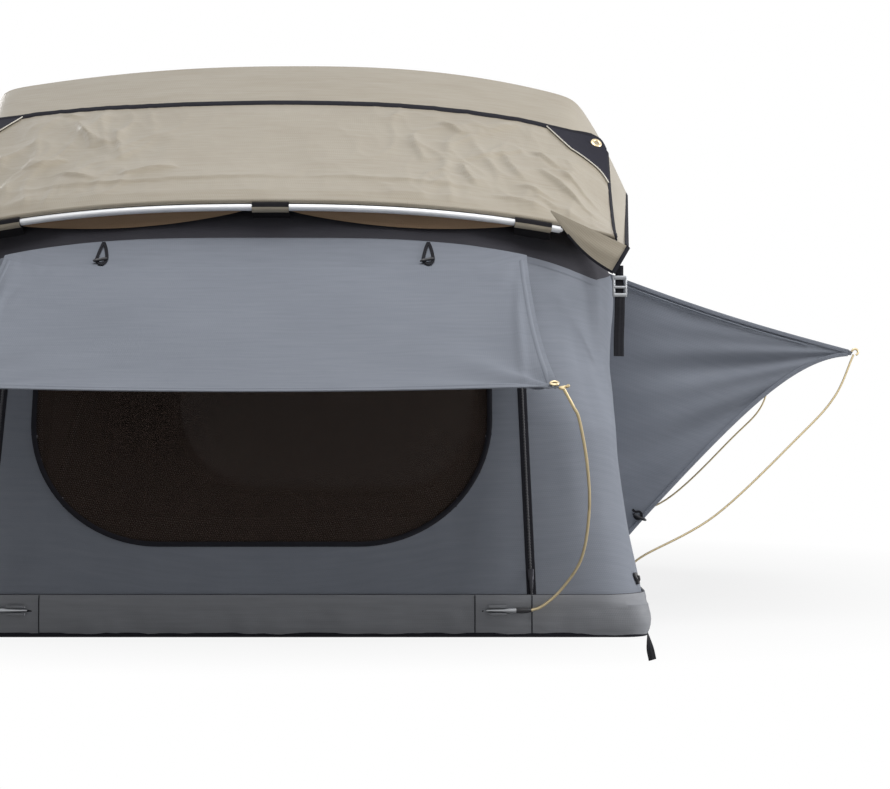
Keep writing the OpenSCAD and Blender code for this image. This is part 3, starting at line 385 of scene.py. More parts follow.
# heavy coated polyester: smooth mid grey, a slight plastic sheen and clouded where it bulges
skirt_cloth = woven("heavy coated polyester", "#83858A", "#919398", 3.0, 0.6, weave=0.1, cloud=0.9, shine=0.35)
# woven binding: black and matt, with a ribbed face
binding_tape = woven("black woven binding", "#1F1F24", "#2D2D34", 2.0, 0.85, weave=0.4, shine=0.15)
low, high = tent_box("front_skirt")
skirt_half, skirt_end, rail_h = high[0], -low[1], high[2]
skirt_corner = 42
slit_seams = (371, 468)


def base_path(side, out, step=9):
    """The outline of a base half from its right end at the hinge line round to the left, with outward normals."""
    half, end, r = skirt_half, skirt_end, skirt_corner
    right = [((half, y, 0), (1, 0, 0)) for y in np.arange(-0.5, -(end - r), -step)]
    right += [((half - r + r * nx, r - end + r * ny, 0), (nx, ny, 0)) for nx, ny in arc(0, 0, 1, 0, -90, 10)]
    right += [((x, -end, 0), (0, -1, 0)) for x in np.arange(half - r - step, 0, -step)]
    right = np.array(right)
    both = np.concatenate([right, right[::-1] * (-1, 1, 1)]) * (1, -side, 1)
    path, normals = both[::-side].transpose(1, 0, 2)
    return path + normals * out, normals


def cloth_tree(*meshes):
    """A search tree over the faces of meshes, for setting other pieces on them."""
    corners, polygons = [], []
    for mesh in meshes:
        start = len(corners)
        corners += [v.co for v in mesh.vertices]
        polygons += [tuple(start + k for k in f.vertices) for f in mesh.polygons]
    return BVHTree.FromPolygons(corners, polygons)


def ripple(a, b, size, seed):
    """Smooth noise from -1 to 1 over two cloth coordinates in millimetres."""
    flat = np.stack([np.ravel(a) / size, np.ravel(b) / size], 1)
    return np.array([noise.noise(Vector((p, q, seed))) for p, q in flat]).reshape(np.shape(a))


def hump(value, centre, spread):
    """1 at the centre, falling away smoothly over the spread."""
    return np.exp(-((value - centre) / spread) ** 2)


lap_h, skirt_t, swell_most, corner_swell = 16, 1.6, 1.6, 4.5
# how far the cloth stands out from the rail's face, and how high, from the lap down
skirt_profile = ((0, rail_h - 2), (-0.4, rail_h - 6), (0, rail_h - 12), (0.6, 36), (0.8, 27), (0.6, 18), (-0.2, 11),
                 (-1.4, 7), (-2.4, 1.5), (-12, 0.4))
for half_name, body, side in halves:
    path, normals = base_path(side, 0)
    run = run_along(path)
    # the upper edge is lapped over the foot of the wall and sewn to it
    wall = cloth_tree(frame["nodes"][half_name + "_canvas"].data)
    rows = []
    for up, off in ((lap_h, 0.2), (lap_h, 1.8), (lap_h / 2, 2.0)):
        start = path + normals * 60 + (0, 0, rail_h + up)
        met = [wall.ray_cast(Vector(p), Vector(-n))[0] for p, n in zip(to_row(start), normals)]
        rows.append(to_tent(met) + normals * off)
    # below, the cloth runs down the rail's face with a soft swell and under the edge
    from_corner = np.hypot(np.abs(path[:, 0]) - skirt_half, np.abs(path[:, 1]) - skirt_end)
    bulge = hump(from_corner, 0, 95)
    for out, z in skirt_profile:
        soft = math.sin(math.pi * min(1, max(0, z / rail_h)))
        swell = soft * (3.0 * ripple(run, run * 0 + z, 70, 3.1) + 2.2 * ripple(run, run * 0 + z * 0.5, 24, 8.7))
        stand = out + np.minimum(swell, swell_most) + corner_swell * soft * bulge
        rows.append(path + normals * stand[:, None] + (0, 0, z))
    grid = np.array(rows).transpose(1, 0, 2)
    skirt = Piece()
    skirt.sheet(grid[:, ::-1], -skirt_t)
    edge, edge_normals = base_path(side, -1.2)
    skirt.sweep(edge + (0, 0, 4.2), edge_normals, 8.4, 3.2, sides=8, square=4, finish=1)
    skirt.tape(grid[:, 1] + (0, 0, 0.6), normals, 2.2, 1.8, finish=1)
    if side < 0:
        for x in [s * k for k in slit_seams for s in (-1, 1)]:
            column = np.argmin(np.abs(path[:, 0] - x) + 9 * np.abs(normals[:, 0]))
            upright = grid[column, 1:-2] * (0, 1, 1) + (x, -1.9, 0)
            skirt.tape(upright, (0, -1, 0), 1.8, 1.6, finish=1)
    skirt = skirt.object(half_name + "_skirt_cloth", skirt_cloth, binding_tape)
    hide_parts(half_name + "_skirt")
    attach(skirt, body)

# Rod pockets on the skirt.
# Folded and bar-tacked patches of the same coated cloth, with a dark mouth that takes the end of a rod. The side
# ones are short tubes; the front ones are slits with two lips.
pocket_half = 12
lip_x, mouth_x, mouth_h = (394, 425), (383, 450), 12
for half_name, body, side in halves:
    low, high = tent_box(half_name + "_rod_pockets")
    pockets = Piece()
    rod_z = (low[2] + high[2]) / 2
    side_y = (high[1] if side < 0 else low[1]) + side * pocket_half
    belly = np.sin(np.linspace(0, np.pi, 9))
    swell = 15 + 3 * belly
    along = [(high[0] - 6.3, side_y + k, rod_z) for k in np.linspace(-pocket_half, pocket_half, 9)]
    pockets.sweep(along, (1, 0, 0), swell, 10.5 + 1.2 * belly, sides=14, square=3)
    if side < 0:
        for (lip, tall) in ((rod_z + 6.4, 5.2), (rod_z - 6.2, 4.6)):
            pockets.sweep([(x, low[1] + 7, lip) for x in np.linspace(*lip_x, 9)], (0, -1, 0),
                          tall + 0.2 * swell - 3, 9 + 0.1 * swell, sides=12, square=3)
        mouth = np.linspace(*mouth_x, 12)
        gape = mouth_h * np.sin(np.pi * (mouth - mouth_x[0] + 3) / (mouth_x[1] - mouth_x[0] + 6)) ** 0.6
        slit = np.stack([mouth, 0 * mouth - skirt_end - 0.9, 0 * mouth + rod_z - 2], 1)
        pockets.tape(slit, (0, -1, 0), gape, 1.4, finish=1)
    pockets.mirrored(0)
    pockets = pockets.object(half_name + "_pocket_cloth", skirt_cloth, binding_tape)
    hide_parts(half_name + "_rod_pockets")
    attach(pockets, body)

# Fly poles and the tabs that carry them.
# Bright drawn aluminium tube, bent to the line of the roof, in three cloth tabs sewn to the canvas. A tab is fly
# cloth below and black hook tape above.
bow_lean = math.radians(32)
# bright anodised tube: nearly white, with a soft long highlight. The oxide layer scatters, so it is part metallic
bright_tube = drawn_metal("bright anodised aluminium tube", "#F6F7F9", "#ECEEF1", 0.45, 6.0, metallic=0.4)
# coated fly cloth: warm tan, clouded by handling, with a thin clear proofing that catches the light on creases
fly_cloth = woven("coated fly polyester", "#9C9281", "#AAA293", 4.0, 0.5, weave=0.14, cloud=0.9, shine=0.25)
fly_tree = fly_cloth.node_tree
feed(fly_tree, fly_tree.nodes["Principled BSDF"], {"Coat Weight": 0.2, "Coat Roughness": 0.22})
# painted shade: the fly cloth made browner, darker and flatter, without the clear proofing, for its slack that hangs
# in shade below the pole
fly_slack_painted_shade = woven("fly cloth browned as painted shade", "#8B735B", "#9A826A", 4.0, 0.6, weave=0.14, cloud=0.7, shine=0.1)
# hook tape: black and rough, without any gloss
hook_tape = woven("black hook tape", "#1C1B1E", "#2A292D", 2.0, 0.9, weave=0.5, shine=0.15)
# half the pole's length, its distance from the pivot at the middle, its drop at the ends, and where the side tabs sit
end_pole = {"half": 528, "reach": 1209, "drop": 68, "tab": 478}
mid_pole = {"half": 600, "reach": 1023, "drop": 70, "tab": 400}
tube_d, plug_d, tab_half = 12.6, (8, 8, 7, 3), 33
# how far from the pivot the middle tab is sewn to the canvas, and how much closer the side ones are
tab_foot = {"front": (1168, 58), "rear": (1168, 58), "mid": (990, 28)}


def pole_r(x, pole):
    """Distance of a fly pole from the pivot, in the plane of its bow."""
    return pole["reach"] - pole["drop"] * (np.abs(x) / pole["half"]) ** 2.4


def in_bow_plane(x, r, off, angle):
    """A point at x across and r out in the plane of a bow, off to its upper side."""
    cos, sin = math.cos(angle), math.sin(angle)
    return np.stack([x, r * cos - off * sin, pivot_z + r * sin + off * cos], -1)


for pole_name, pole, angle in (("front", end_pole, math.pi - bow_lean), ("mid", mid_pole, math.pi / 2),
                               ("rear", end_pole, bow_lean)):
    upper = (0, -math.sin(angle), math.cos(angle))
    xs = np.linspace(-pole["half"], pole["half"], 61)
    tube = Piece()
    tube.sweep(in_bow_plane(xs, pole_r(xs, pole), 0, angle), upper, tube_d, tube_d, sides=18)
    for s in (-1, 1):
        tip = s * (pole["half"] + np.array([-1, 1, 4, 5.5]))
        tube.sweep(in_bow_plane(tip, pole_r(tip, pole), 0, angle), upper, plug_d, plug_d, sides=12)
    tube = tube.object(pole_name + "_pole_tube", bright_tube)
    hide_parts(pole_name + "_fly_pole")
    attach(tube, "bow_" + pole_name)
    tabs = Piece()
    for x in (-pole["tab"], 0, pole["tab"]):
        xs = np.linspace(x - tab_half, x + tab_half, 13) + (8 if pole_name == "front" and not x else 0)
        tabs.sweep(in_bow_plane(xs, pole_r(xs, pole), 0, angle), (0, 0, 1), 16.5 + 1.2 * np.sin(xs), 18.5, sides=16,
                   square=2.6, finish=1, lower=0)
        foot = tab_foot[pole_name][0] - (tab_foot[pole_name][1] if x else 0)
        top = pole_r(xs, pole) - 8
        rows = [in_bow_plane(xs, top - (top - foot) * k, 0, angle) for k in np.linspace(0, 1, 5)]
        tabs.sheet(np.array(rows).transpose(1, 0, 2), 2.0, finish=1)
    tabs = tabs.object(pole_name + "_tab_cloth", fly_cloth, hook_tape)
    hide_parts(pole_name + "_pole_tabs")
    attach(tabs, "bow_" + pole_name)

# Canvas body, front and rear half.
# Coated poly-cotton canvas in mid grey, cut in panels and stretched over the bows, with darker cloth for the roof.
# The walls flare to the skirt, where they are sewn under a lap. Window openings are bound in black.

# coated canvas: a flat blue-grey, with threads that just show and soft clouds of tone
wall_canvas = woven("coated poly-cotton canvas", "#7E838D", "#898E98", 3.4, 0.8, weave=0.1, cloud=0.9, shine=0.25)
# roof canvas: charcoal and duller, with a weave that stands out more. The cloth is darker than the walls, and its very
# dark tone also paints the shade that the fly casts on it
roof_canvas_and_shade = woven("charcoal roof canvas with painted shade", "#323138", "#3C3B42", 3.4, 0.85, weave=0.22, cloud=0.7)
wall_foot, wall_top, wall_tilt = rail_h + 0.3, 720, math.radians(71.677)
ridge_z, shoulder_z, shoulder_half = 1098, 756, 600
window_half, window_low, window_high, low_r, high_r = 398, 106, 545, 226, 120
side_window = {"half": 400, "low": 235, "high": 525, "r": 70}
canvas_t, seam_w, tape_w, tape_t, pane_sink, pane_lap = 1.6, 14, 9, 2.4, 2.2, 14
seam_top, seam_fall, seam_reach, roof_end = 686, 27, 455, 1000
# along the sides the seam falls between these places, by these heights
side_seam_y, side_seam_z = (560, 930), (668, 615)
# rows of the wall that are evened out, the row that is measured round, how far the wrinkles take to fade in at foot
# and top, and how far the straps pull the corners out
even_rows, girdle_row, edge_fade, corner_pull = 78, 20, 60, 38


def lerp(a, b, t):
    """A value part of the way from one to another."""
    return a + (b - a) * t


def ramp(value, start, end):
    """0 up to the start, 1 from the end on, and a straight rise between."""
    return np.clip((value - start) / (end - start), 0, 1)


def end_y(z):
    """The end wall's place at a height."""
    return -(skirt_end - (z - wall_foot) / math.tan(wall_tilt))


def seam_z(x, y=-roof_end):
    """Height of the seam between wall and roof cloth, on the end wall and along the sides."""
    end = seam_top - seam_fall * np.minimum(np.abs(x) / seam_reach, 1.31) ** 3.6
    return np.where(np.abs(y) > side_seam_y[1], end, np.interp(np.abs(y), side_seam_y, side_seam_z))


def canvas_levels():
    """Heights of the cloth's rows, close together on the wall and wider on the roof."""
    return np.concatenate([np.linspace(wall_foot, wall_top, 82), np.linspace(wall_top, ridge_z, 16)[1:]])


def canvas_rays(z):
    """Inner points and outward directions round a half, from right to left, at a height."""
    front = end_y(z) if z < wall_top else -roof_end * max(0.012, (ridge_z - z) / (ridge_z - wall_top))
    rise = min(1, max(0, (z - shoulder_z) / (ridge_z + 2 - shoulder_z)))
    width = shoulder_half * max(0.05, (1 - rise ** 3)) ** (1 / 3)
    # the corner's rays fan out from a point this share of the way in from the side and from the end
    from_side, from_end = 290 / 620, 0.24
    cx, cy = width * (1 - from_side), front * (1 - from_end)
    sides = [((0, cy * k), (1, 0)) for k in np.linspace(0.0005, 1, 78)]
    turn = [((cx, cy), (math.cos(a), math.sin(a))) for a in np.radians(np.linspace(0, -90, 44))[1:-1]]
    face = [((x, cy), (0, -1)) for x in np.linspace(cx, 0, 44)]
    right = sides + turn + face
    return right + [((-o[0], o[1]), (-d[0], d[1])) for (o, d) in right[-2::-1]]


def smoothed(grid, rounds):
    """Evens out a grid and keeps its border."""
    g = grid.copy()
    for _ in range(rounds):
        inner = (g[:-2, 1:-1] + g[2:, 1:-1] + g[1:-1, :-2] + g[1:-1, 2:]) / 4
        g[1:-1, 1:-1] += 0.6 * (inner - g[1:-1, 1:-1])
    return g


def in_end_window(p, grow):
    """Which points lie in the end window's outline, grown by an amount."""
    x, s = np.abs(p[..., 0]), (p[..., 2] - wall_foot) / math.sin(wall_tilt)
    half, low, high = window_half + grow, window_low - grow, window_high + grow
    inside = (x < half) & (s > low) & (s < high)
    for (r, edge, sign) in ((low_r, low, 1), (high_r, high, -1)):
        cx, cs = half - r, edge + sign * r
        inside &= ~((x > cx) & ((s - cs) * sign < 0) & (np.hypot(x - cx, s - cs) > r))
    return inside & (np.abs(p[..., 1]) > 900)


def in_side_window(p, grow):
    """Which points lie in the side windows, which run across the hinge line."""
    y, z, r = np.abs(p[..., 1]), p[..., 2], side_window["r"]
    half, low, high = side_window["half"] + grow, side_window["low"] - grow, side_window["high"] + grow
    inside = (y < half) & (z > low) & (z < high)
    for (edge, sign) in ((low, 1), (high, -1)):
        cz = edge + sign * r
        inside &= ~((y > half - r) & ((z - cz) * sign < 0) & (np.hypot(y - half + r, z - cz) > r))
    return inside & (np.abs(p[..., 0]) > 560)


def collapse(piece):
    """Gives a soft part a mesh of its own."""
    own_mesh(piece)


def lies_on(tree, points, lift, toward):
    """Points moved along a direction onto a cloth, and lifted off it, with the cloth's normals."""
    found, normals = [], []
    for p in to_row(points):
        d = Vector(toward).normalized()
        hit, n, _, _ = tree.ray_cast(Vector(p) - d, d)
        if hit is None:
            hit, n, _, _ = tree.find_nearest(Vector(p))
        n = n if n.dot(d) < 0 else -n
        found.append(to_tent(hit) + np.array(n) * lift)
        normals.append(np.array(n))
    return np.array(found), np.array(normals)


# insect mesh: dark brown and see-through, so that the inside shows dimly. The threads stand 1.2 mm apart on the real
# cloth, and are drawn at 4 mm to show
insect_mesh, mesh_tree, mesh_shader = new_finish("fine insect mesh")
mesh_uv = add(mesh_tree, "ShaderNodeTexCoord").outputs["UV"]
mesh_bands = {"Vector": mesh_uv, "Scale": 314 / 4}
warp, weft = (add(mesh_tree, "ShaderNodeTexWave", mesh_bands, bands_direction=d).outputs["Fac"] for d in "XY")
mesh_hole = add(mesh_tree, "ShaderNodeMath", {0: warp, 1: weft}, operation="MULTIPLY")
mesh_cover = add(mesh_tree, "ShaderNodeMapRange", {"Value": mesh_hole.outputs[0], "To Min": 0.86, "To Max": 0.55})
feed(mesh_tree, mesh_shader, {"Alpha": mesh_cover.outputs[0], "Base Color": linear("#3B302A"), "Roughness": 0.8,
                              "Specular IOR Level": 0.2})

# the outline of an end window, across and up the slope, and of one half of a side window
end_outline = [(x, window_low) for x in np.linspace(0, window_half - low_r, 14)[:-1]]
end_outline += arc(window_half - low_r, window_low + low_r, low_r, -90, 0, 24)
end_outline += [(window_half, s) for s in np.linspace(window_low + low_r, window_high - high_r, 14)[:-1]]
end_outline += arc(window_half - high_r, window_high - high_r, high_r, 0, 90, 16)
end_outline += [(x, window_high) for x in np.linspace(window_half - high_r, 0, 18)[1:]]
end_outline += [(-x, s) for (x, s) in end_outline[-2:0:-1]] + end_outline[:1]
half, low, high, r = (side_window[k] for k in ("half", "low", "high", "r"))
side_outline = [(0.4, low)] + [(y, low) for y in np.linspace(20, half - r, 20)]
side_outline += arc(half - r, low + r, r, -82, -8, 8)
side_outline += [(half, z) for z in np.linspace(low + r, high - r, 9)]
side_outline += arc(half - r, high - r, r, 8, 82, 8)
side_outline += [(y, high) for y in np.linspace(half - r, 20, 20)] + [(0.4, high)]

canvas_tree, canvases = {}, {}
for half_name, body, side in halves:
    shell = cloth_tree(*(frame["nodes"][half_name + n].data for n in ("_canvas", "_window_mesh", "_side_meshes")))
    rows = []
    for z in canvas_levels():
        line = []
        for (o, d) in canvas_rays(z):
            d = Vector((d[0], d[1] * -side, 0))
            start = Vector(to_row((o[0], o[1] * -side, z)))
            hit = shell.ray_cast(start + d * 1.6, -d)[0] or shell.find_nearest(start + d * 0.1)[0]
            line.append(to_tent(hit))
        rows.append(line)
    grid = np.array(rows).transpose(1, 0, 2)
    grid[:, :even_rows] = smoothed(grid[:, :even_rows], 6)
    around = np.broadcast_to(run_along(grid[:, girdle_row])[:, None], grid.shape[:2])
    height = grid[..., 2]
    out = grid_normals(grid)
    if np.mean(out[..., 0] * grid[..., 0]) < 0:
        out = -out
    hang = ramp(height, wall_foot, wall_foot + edge_fade) * ramp(height, wall_top, wall_top - edge_fade)
    corner = hump(np.abs(grid[..., 0]), shoulder_half, 60) * hump(np.abs(grid[..., 1]), 1040, 170)
    wrinkle = 1.3 * ripple(around, height * 0.35, 120, 1.7 + side)
    wrinkle += 0.8 * ripple(around * 1.4, height * 0.5, 46, 5.2)
    wrinkle += 5.0 * corner * ripple(around * 1.3, height * 0.12, 34, 9.4)
    # the fly's straps pull out the side of each corner
    belly = hump(np.abs(grid[..., 1]), 900, 170) * hump(height, 635, 110)
    belly *= np.clip(np.abs(out[..., 0]) * 2 - 0.4, 0, 1)
    grid += out * (hang * wrinkle - 1.2)[..., None]
    belly *= ramp(height, wall_foot, wall_foot + edge_fade)
    grid[..., 0] += np.sign(grid[..., 0]) * corner_pull * belly
    if side > 0:
        grid = grid[::-1]
    middle = (grid[:-1, :-1] + grid[1:, :-1] + grid[1:, 1:] + grid[:-1, 1:]) / 4
    opening = in_end_window(middle, 0) | in_side_window(middle, 0)
    over = grid[..., 2] - seam_z(grid[..., 0], grid[..., 1])
    roof = (over[:-1, :-1] + over[1:, :-1] + over[1:, 1:] + over[:-1, 1:]) > 0
    cloth = Piece()
    cloth.sheet(grid[:, ::-1], -canvas_t, cells=~opening[:, ::-1], high=roof[:, ::-1])
    probe = Piece().sheet(grid[:, ::-1], -0.1).object("probe", wall_canvas)
    canvas_tree[side] = cloth_tree(probe.data)
    bpy.data.objects.remove(probe)
    # the lapped seam between wall and roof cloth runs all round; black tape binds the openings
    column = np.arange(len(grid))
    row = np.argmax(over > 1, axis=1)
    share = ((over[column, row] - 1) / (over[column, row] - over[column, row - 1]))[:, None]
    seam = lerp(grid[column, row], grid[column, row - 1], share)
    face = grid_normals(grid)[column, row]
    face *= np.sign(np.sum(face * seam * (1, 1, 0), axis=1, keepdims=True))
    cloth.tape(seam + face * 0.4, face, seam_w, 1.0)
    bound = [([(x, side * 900, wall_foot + s * math.sin(wall_tilt)) for (x, s) in end_outline], (0, -side, 0))]
    bound += [([(s * 500, side * y, z) for (y, z) in side_outline], (-s, 0, 0)) for s in (-1, 1)]
    for outline, inward in bound:
        path, normals = lies_on(canvas_tree[side], outline, 0.6, inward)
        cloth.tape(path, normals, tape_w, tape_t, finish=2)
    canvas = cloth.object(half_name + "_canvas_cloth", wall_canvas, roof_canvas_and_shade, binding_tape)
    canvases[side] = canvas
    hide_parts(half_name + "_canvas")
    collapse(canvas)
    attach(canvas, body)

    # window panes: fine insect mesh sewn behind the openings
    inner = grid[:, ::-1]
    inner = inner - pane_sink * grid_normals(inner)
    for pane, cells in (("_window_mesh", in_end_window(middle, pane_lap)),
                        ("_side_meshes", in_side_window(middle, pane_lap))):
        net = Piece().sheet(inner, -0.6, cells=cells[:, ::-1])
        net = net.object(half_name + pane + "_net", insect_mesh)
        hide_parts(half_name + pane)
        collapse(net)
        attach(net, body)

# Zips beside the window.
# Black coil zips on 16 mm tape, sewn up the end wall with a slight lean. Each has a cast slider with a flat pull
# that runs on the coil.
zip_lean = math.radians(2)
zip_x, zip_start, zip_length = 468, 6, 560
coil_beads = 420
aim_y = -700  # pieces are laid on the end wall from the front, toward this depth
# nylon coil: black, with a row of small highlights
coil_nylon = moulded("black nylon coil", "#26262A", "#3A3A40", 0.5, 1.5)


def on_zip(s, lift, sign=1):
    """Places on a zip at distances up the wall's slope, lifted off the cloth, with its normals."""
    x = sign * (zip_x - (s - zip_start) * math.tan(zip_lean))
    aim = np.stack([x, 0 * x + aim_y, wall_foot + s * math.sin(wall_tilt)], -1)
    return lies_on(canvas_tree[-1], aim, lift, (0, 1, 0))


zips = Piece()
path, normals = on_zip(np.linspace(zip_start + 11, zip_start + zip_length, 90), 0.4)
zips.sweep(path, normals, 16, 1.6, sides=8, square=4)
path, normals = on_zip(np.linspace(zip_start + 12, zip_start + zip_length, coil_beads), 1.6)
bead = 4.2 + 0.9 * np.sign(np.sin(np.arange(coil_beads) * np.pi / 2 + 0.3))
zips.sweep(path, normals, bead, bead * 0.6, sides=8, finish=1)
zips.mirrored(0)
zips = zips.object("front_zip_tape", binding_tape, coil_nylon)
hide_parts("front_zips")
collapse(zips)
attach(zips, "base_front")
# black-plated casting: dark grey with a small sharp highlight
cast_black = drawn_metal("black-plated zinc casting", "#3A3A3E", "#2A2A2E", 0.35, 3.0)
for hand, sign in (("right", 1), ("left", -1)):
    low, high = tent_box(hand + "_zip_slider")
    s = (np.linspace(low[2] + 2, high[2] - 2, 9) - wall_foot) / math.sin(wall_tilt)
    path, normals = on_zip(s, 4.2, sign)
    slide = Piece()
    along = np.linspace(0, 1, 9)
    slide.sweep(path[4:], normals[4:], 8 + 3 * along[4:], 4.2, sides=12, square=3)
    pull = path[:6] + normals[:6] * (3.2 - 1.6 * along[:6])[:, None]
    slide.sweep(pull, normals[:6], 5 + 2 * np.sin(np.pi * along[:6]), 2.2, sides=10, square=3)
    slide = slide.object(hand + "_slider_casting", cast_black)
    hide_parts(hand + "_zip_slider")
    collapse(slide)
    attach(slide, hand + "_slider")

# Front awning.
# One panel of the wall canvas, sewn into a rolled seam under the roof and hemmed on three sides. It leaves the wall
# in an easy curve, sags a little and is held out at its corners by two rods through brass eyelets.
seam_half, awning_half, awning_length, awning_drop = 466, 500, 565, math.radians(24.5)
awning_seam_z, awning_t, awning_up = 657, 1.8, (0, -0.41, 0.91)
low, high = tent_box("awning_seam")
seam_y = (low[1] + high[1]) / 2
awning_y = seam_y - awning_length * math.cos(awning_drop)
awning_z = awning_seam_z - awning_length * math.sin(awning_drop)


def awning_point(s, t):
    """The awning's cloth, from edge (t 0) to seam (t 1), and s -1 to 1 across it."""
    half = lerp(awning_half, seam_half, 1 - (1 - t) ** 1.7)
    far = (1 - t) * awning_length
    sag = (3 * (1 - np.exp(-far / 4)) + 0.05 * far) * (1 - (1 - t) ** 4) + 6 * (1 - s ** 2) * (1 - t)
    return np.stack([s * half, lerp(awning_y, seam_y - 3.3, t), lerp(awning_z, awning_seam_z, t) - sag], -1)


s, t = np.meshgrid(np.linspace(-1, 1, 181), 1 - np.linspace(1, 0, 111) ** 1.5, indexing="ij")
grid = awning_point(s, t)
# pulled folds run from the held corners toward the middle of the seam, and short ones stand by the seam's ends
reach = np.hypot((1 - np.abs(s)) * awning_half, t * awning_length)
bearing = np.arctan2(t * awning_length, (1 - np.abs(s)) * awning_half + 1)
folds = 5.5 * np.sin(bearing * 9 + 0.6) * np.exp(-reach / 200) * (1 - np.exp(-reach / 30))
folds += 4.5 * hump(np.abs(s), lerp(0.9, 0.965, t), 0.012) * np.sin(np.pi * np.clip(t * 1.15, 0, 1))
gathers = np.abs(ripple(s * awning_half, t * 160, 30, 4.4))
folds += 3.5 * gathers * hump(np.abs(s), 0.93, 0.12) * hump(t, 0.86, 0.2)
folds += 2.4 * ripple(s * 300, t * 260, 90, 2.2) * np.sin(np.pi * t) ** 2
grid[..., 2] += folds
awning = Piece()
awning.sheet(grid, awning_t)
awning.tape(grid[:, 2] + (0, 0, 1), awning_up, 11, 3.4)
for k in (2, -3):
    awning.tape(grid[k, 1:-3] + (0, 0, 1), awning_up, 9, 3.0)
awning = awning.object("front_awning_cloth", wall_canvas)
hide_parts("front_awning")
collapse(awning)
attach(awning, "awning")
roll = Piece()
xs = np.linspace(-seam_half, seam_half, 80)
roll.sweep(np.stack([xs, xs * 0 + seam_y, xs * 0 + awning_seam_z], 1), (0, -0.9, 0.3), 5, 5, sides=12)
# the wall cloth is carried over the roll onto the awning in an easy curve, so that no line shows there
root_out = grid_normals(grid)
skin = grid + 1.9 * root_out
inner = ramp(1 - np.abs(np.linspace(-1, 1, len(skin))), 0, 0.16)[:, None]
top = skin[:, -1].copy()
top[:, 2] = np.maximum(seam_z(top[:, 0]) + 5, awning_seam_z + 3)
top[:, 1] = end_y(top[:, 2]) - 2.4
landing = lerp(skin[:, -9], skin[:, -21], inner) - 1.3 * lerp(root_out[:, -9], root_out[:, -21], inner)
q = np.linspace(0, 1, 18)[None, :, None]
curve = (1 - q) ** 2 * top[:, None] + 2 * q * (1 - q) * skin[:, -1:] + q ** 2 * landing[:, None]
roll.sheet(curve[:, ::-1], 0.4)
roll = roll.object("awning_seam_roll", wall_canvas)
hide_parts("awning_seam")
collapse(roll)
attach(roll, "base_front")
# polished brass: pale gold, with clear reflections that are a little blurred by wear
polished_brass = drawn_metal("polished brass", "#EBDDBB", "#DCC79C", 0.34, 8.0, grain=0.04)
paint(polished_brass, "awning_eyelets")

# Wall toggles.
# Loops of black webbing sewn into the wall seam, each with a short moulded bar that ties up the rolled awning. There
# is one more at the foot of each side gusset, and a small moulded hook on each corner of the wall.

# polyester webbing: black and matt, with a coarse raised weave
webbing = woven("black polyester webbing", "#222226", "#303035", 2.2, 0.85, weave=0.6, shine=0.15)
toggle_x, toggle_low, toggle_high = 290, 641, 684
gusset_foot = np.array([705, -578, 172])
bar_girth = np.array([2.5, 5.4, 6.4, 5.8, 5.2, 5.8, 6.4, 5.4, 2.5])
# how far a wall loop stands to the side, and its height as a share of the toggle's
wall_loop = ((0, 1), (4, 0.8), (8, 0.45), (8.5, 0.2), (3, 0.02), (-4, 0.08), (-8.5, 0.25), (-7, 0.5), (-3.5, 0.8),
             (0, 1))


def spline(points, per=8):
    """A smooth path through points."""
    p = np.asarray(points, float)
    p = np.vstack([2 * p[0] - p[1], p, 2 * p[-1] - p[-2]])
    path = []
    for i in range(1, len(p) - 2):
        for t in np.linspace(0, 1, per, endpoint=False):
            a, b, c, d = p[i - 1], p[i], p[i + 1], p[i + 2]
            curve = (c - a) * t + (2 * a - 5 * b + 4 * c - d) * t ** 2 + (3 * b - a - 3 * c + d) * t ** 3
            path.append(0.5 * (2 * b + curve))
    return np.array(path + [p[-2]])


under = cloth_tree(awning.data, roll.data, canvases[-1].data)
toggles = Piece()
for side_x in (-toggle_x, toggle_x):
    loop = spline([(side_x + dx, aim_y, lerp(toggle_low, toggle_high, k)) for dx, k in wall_loop], 5)
    path, normals = lies_on(under, loop, 2, (0, 1, 0))
    toggles.tape(path, normals, 6, 2.4)
    bar = np.array([(side_x - 2 + dx, aim_y, toggle_low + 7 + 0.22 * dx) for dx in np.linspace(-12, 12, 9)])
    path, normals = lies_on(under, bar, 5.5, (0, 1, 0))
    toggles.sweep(path, normals, bar_girth, bar_girth, sides=12, finish=1)
gusset_loop = spline([gusset_foot + (dx, -1.5, dz) for dx, dz in
                      ((-14, 14), (-9, 9), (0, 9), (4, 2), (0, -5), (-8, -3), (-12, 6))], 5)
hook_back = [(649 + dx, -1160, z) for dx, z in ((-1.0, 104), (-0.4, 98), (0.2, 92), (1.0, 84))]
hook_at, hook_out = lies_on(canvas_tree[-1], hook_back, 3, (-0.9, 0.5, 0))
for sx in (1, -1):
    mirror = np.array([sx, 1, 1])
    toggles.tape(gusset_loop * mirror, (0, -1, 0), 5, 2.6)
    bar = np.array([gusset_foot + (dx, -5, -0.45 * dx - 2) for dx in np.linspace(-12, 13, 9)]) * mirror
    toggles.sweep(bar, (0, -1, 0), bar_girth, bar_girth, sides=12, finish=1)
    toggles.sweep(hook_at * mirror, hook_out * mirror, (10, 14, 12, 9), (4, 6, 7, 5), sides=10, square=3, finish=1)
    nose = np.array([hook_at[1] + hook_out[1] * k + (0, 0, z) for k, z in ((2, 0), (6, -2), (7, -8), (5, -12))])
    toggles.sweep(nose * mirror, hook_out[1] * mirror, 4, 3.4, sides=10, finish=1)
toggles = toggles.object("front_toggle_loops", webbing, black_nylon)
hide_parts("front_toggles")
collapse(toggles)
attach(toggles, "base_front")

# Front awning rods.
# Spring steel wire with a yellow zinc plate, bowed between the awning's corner and a pocket on the skirt, with a
# black sleeve and a bright steel tip at the foot.

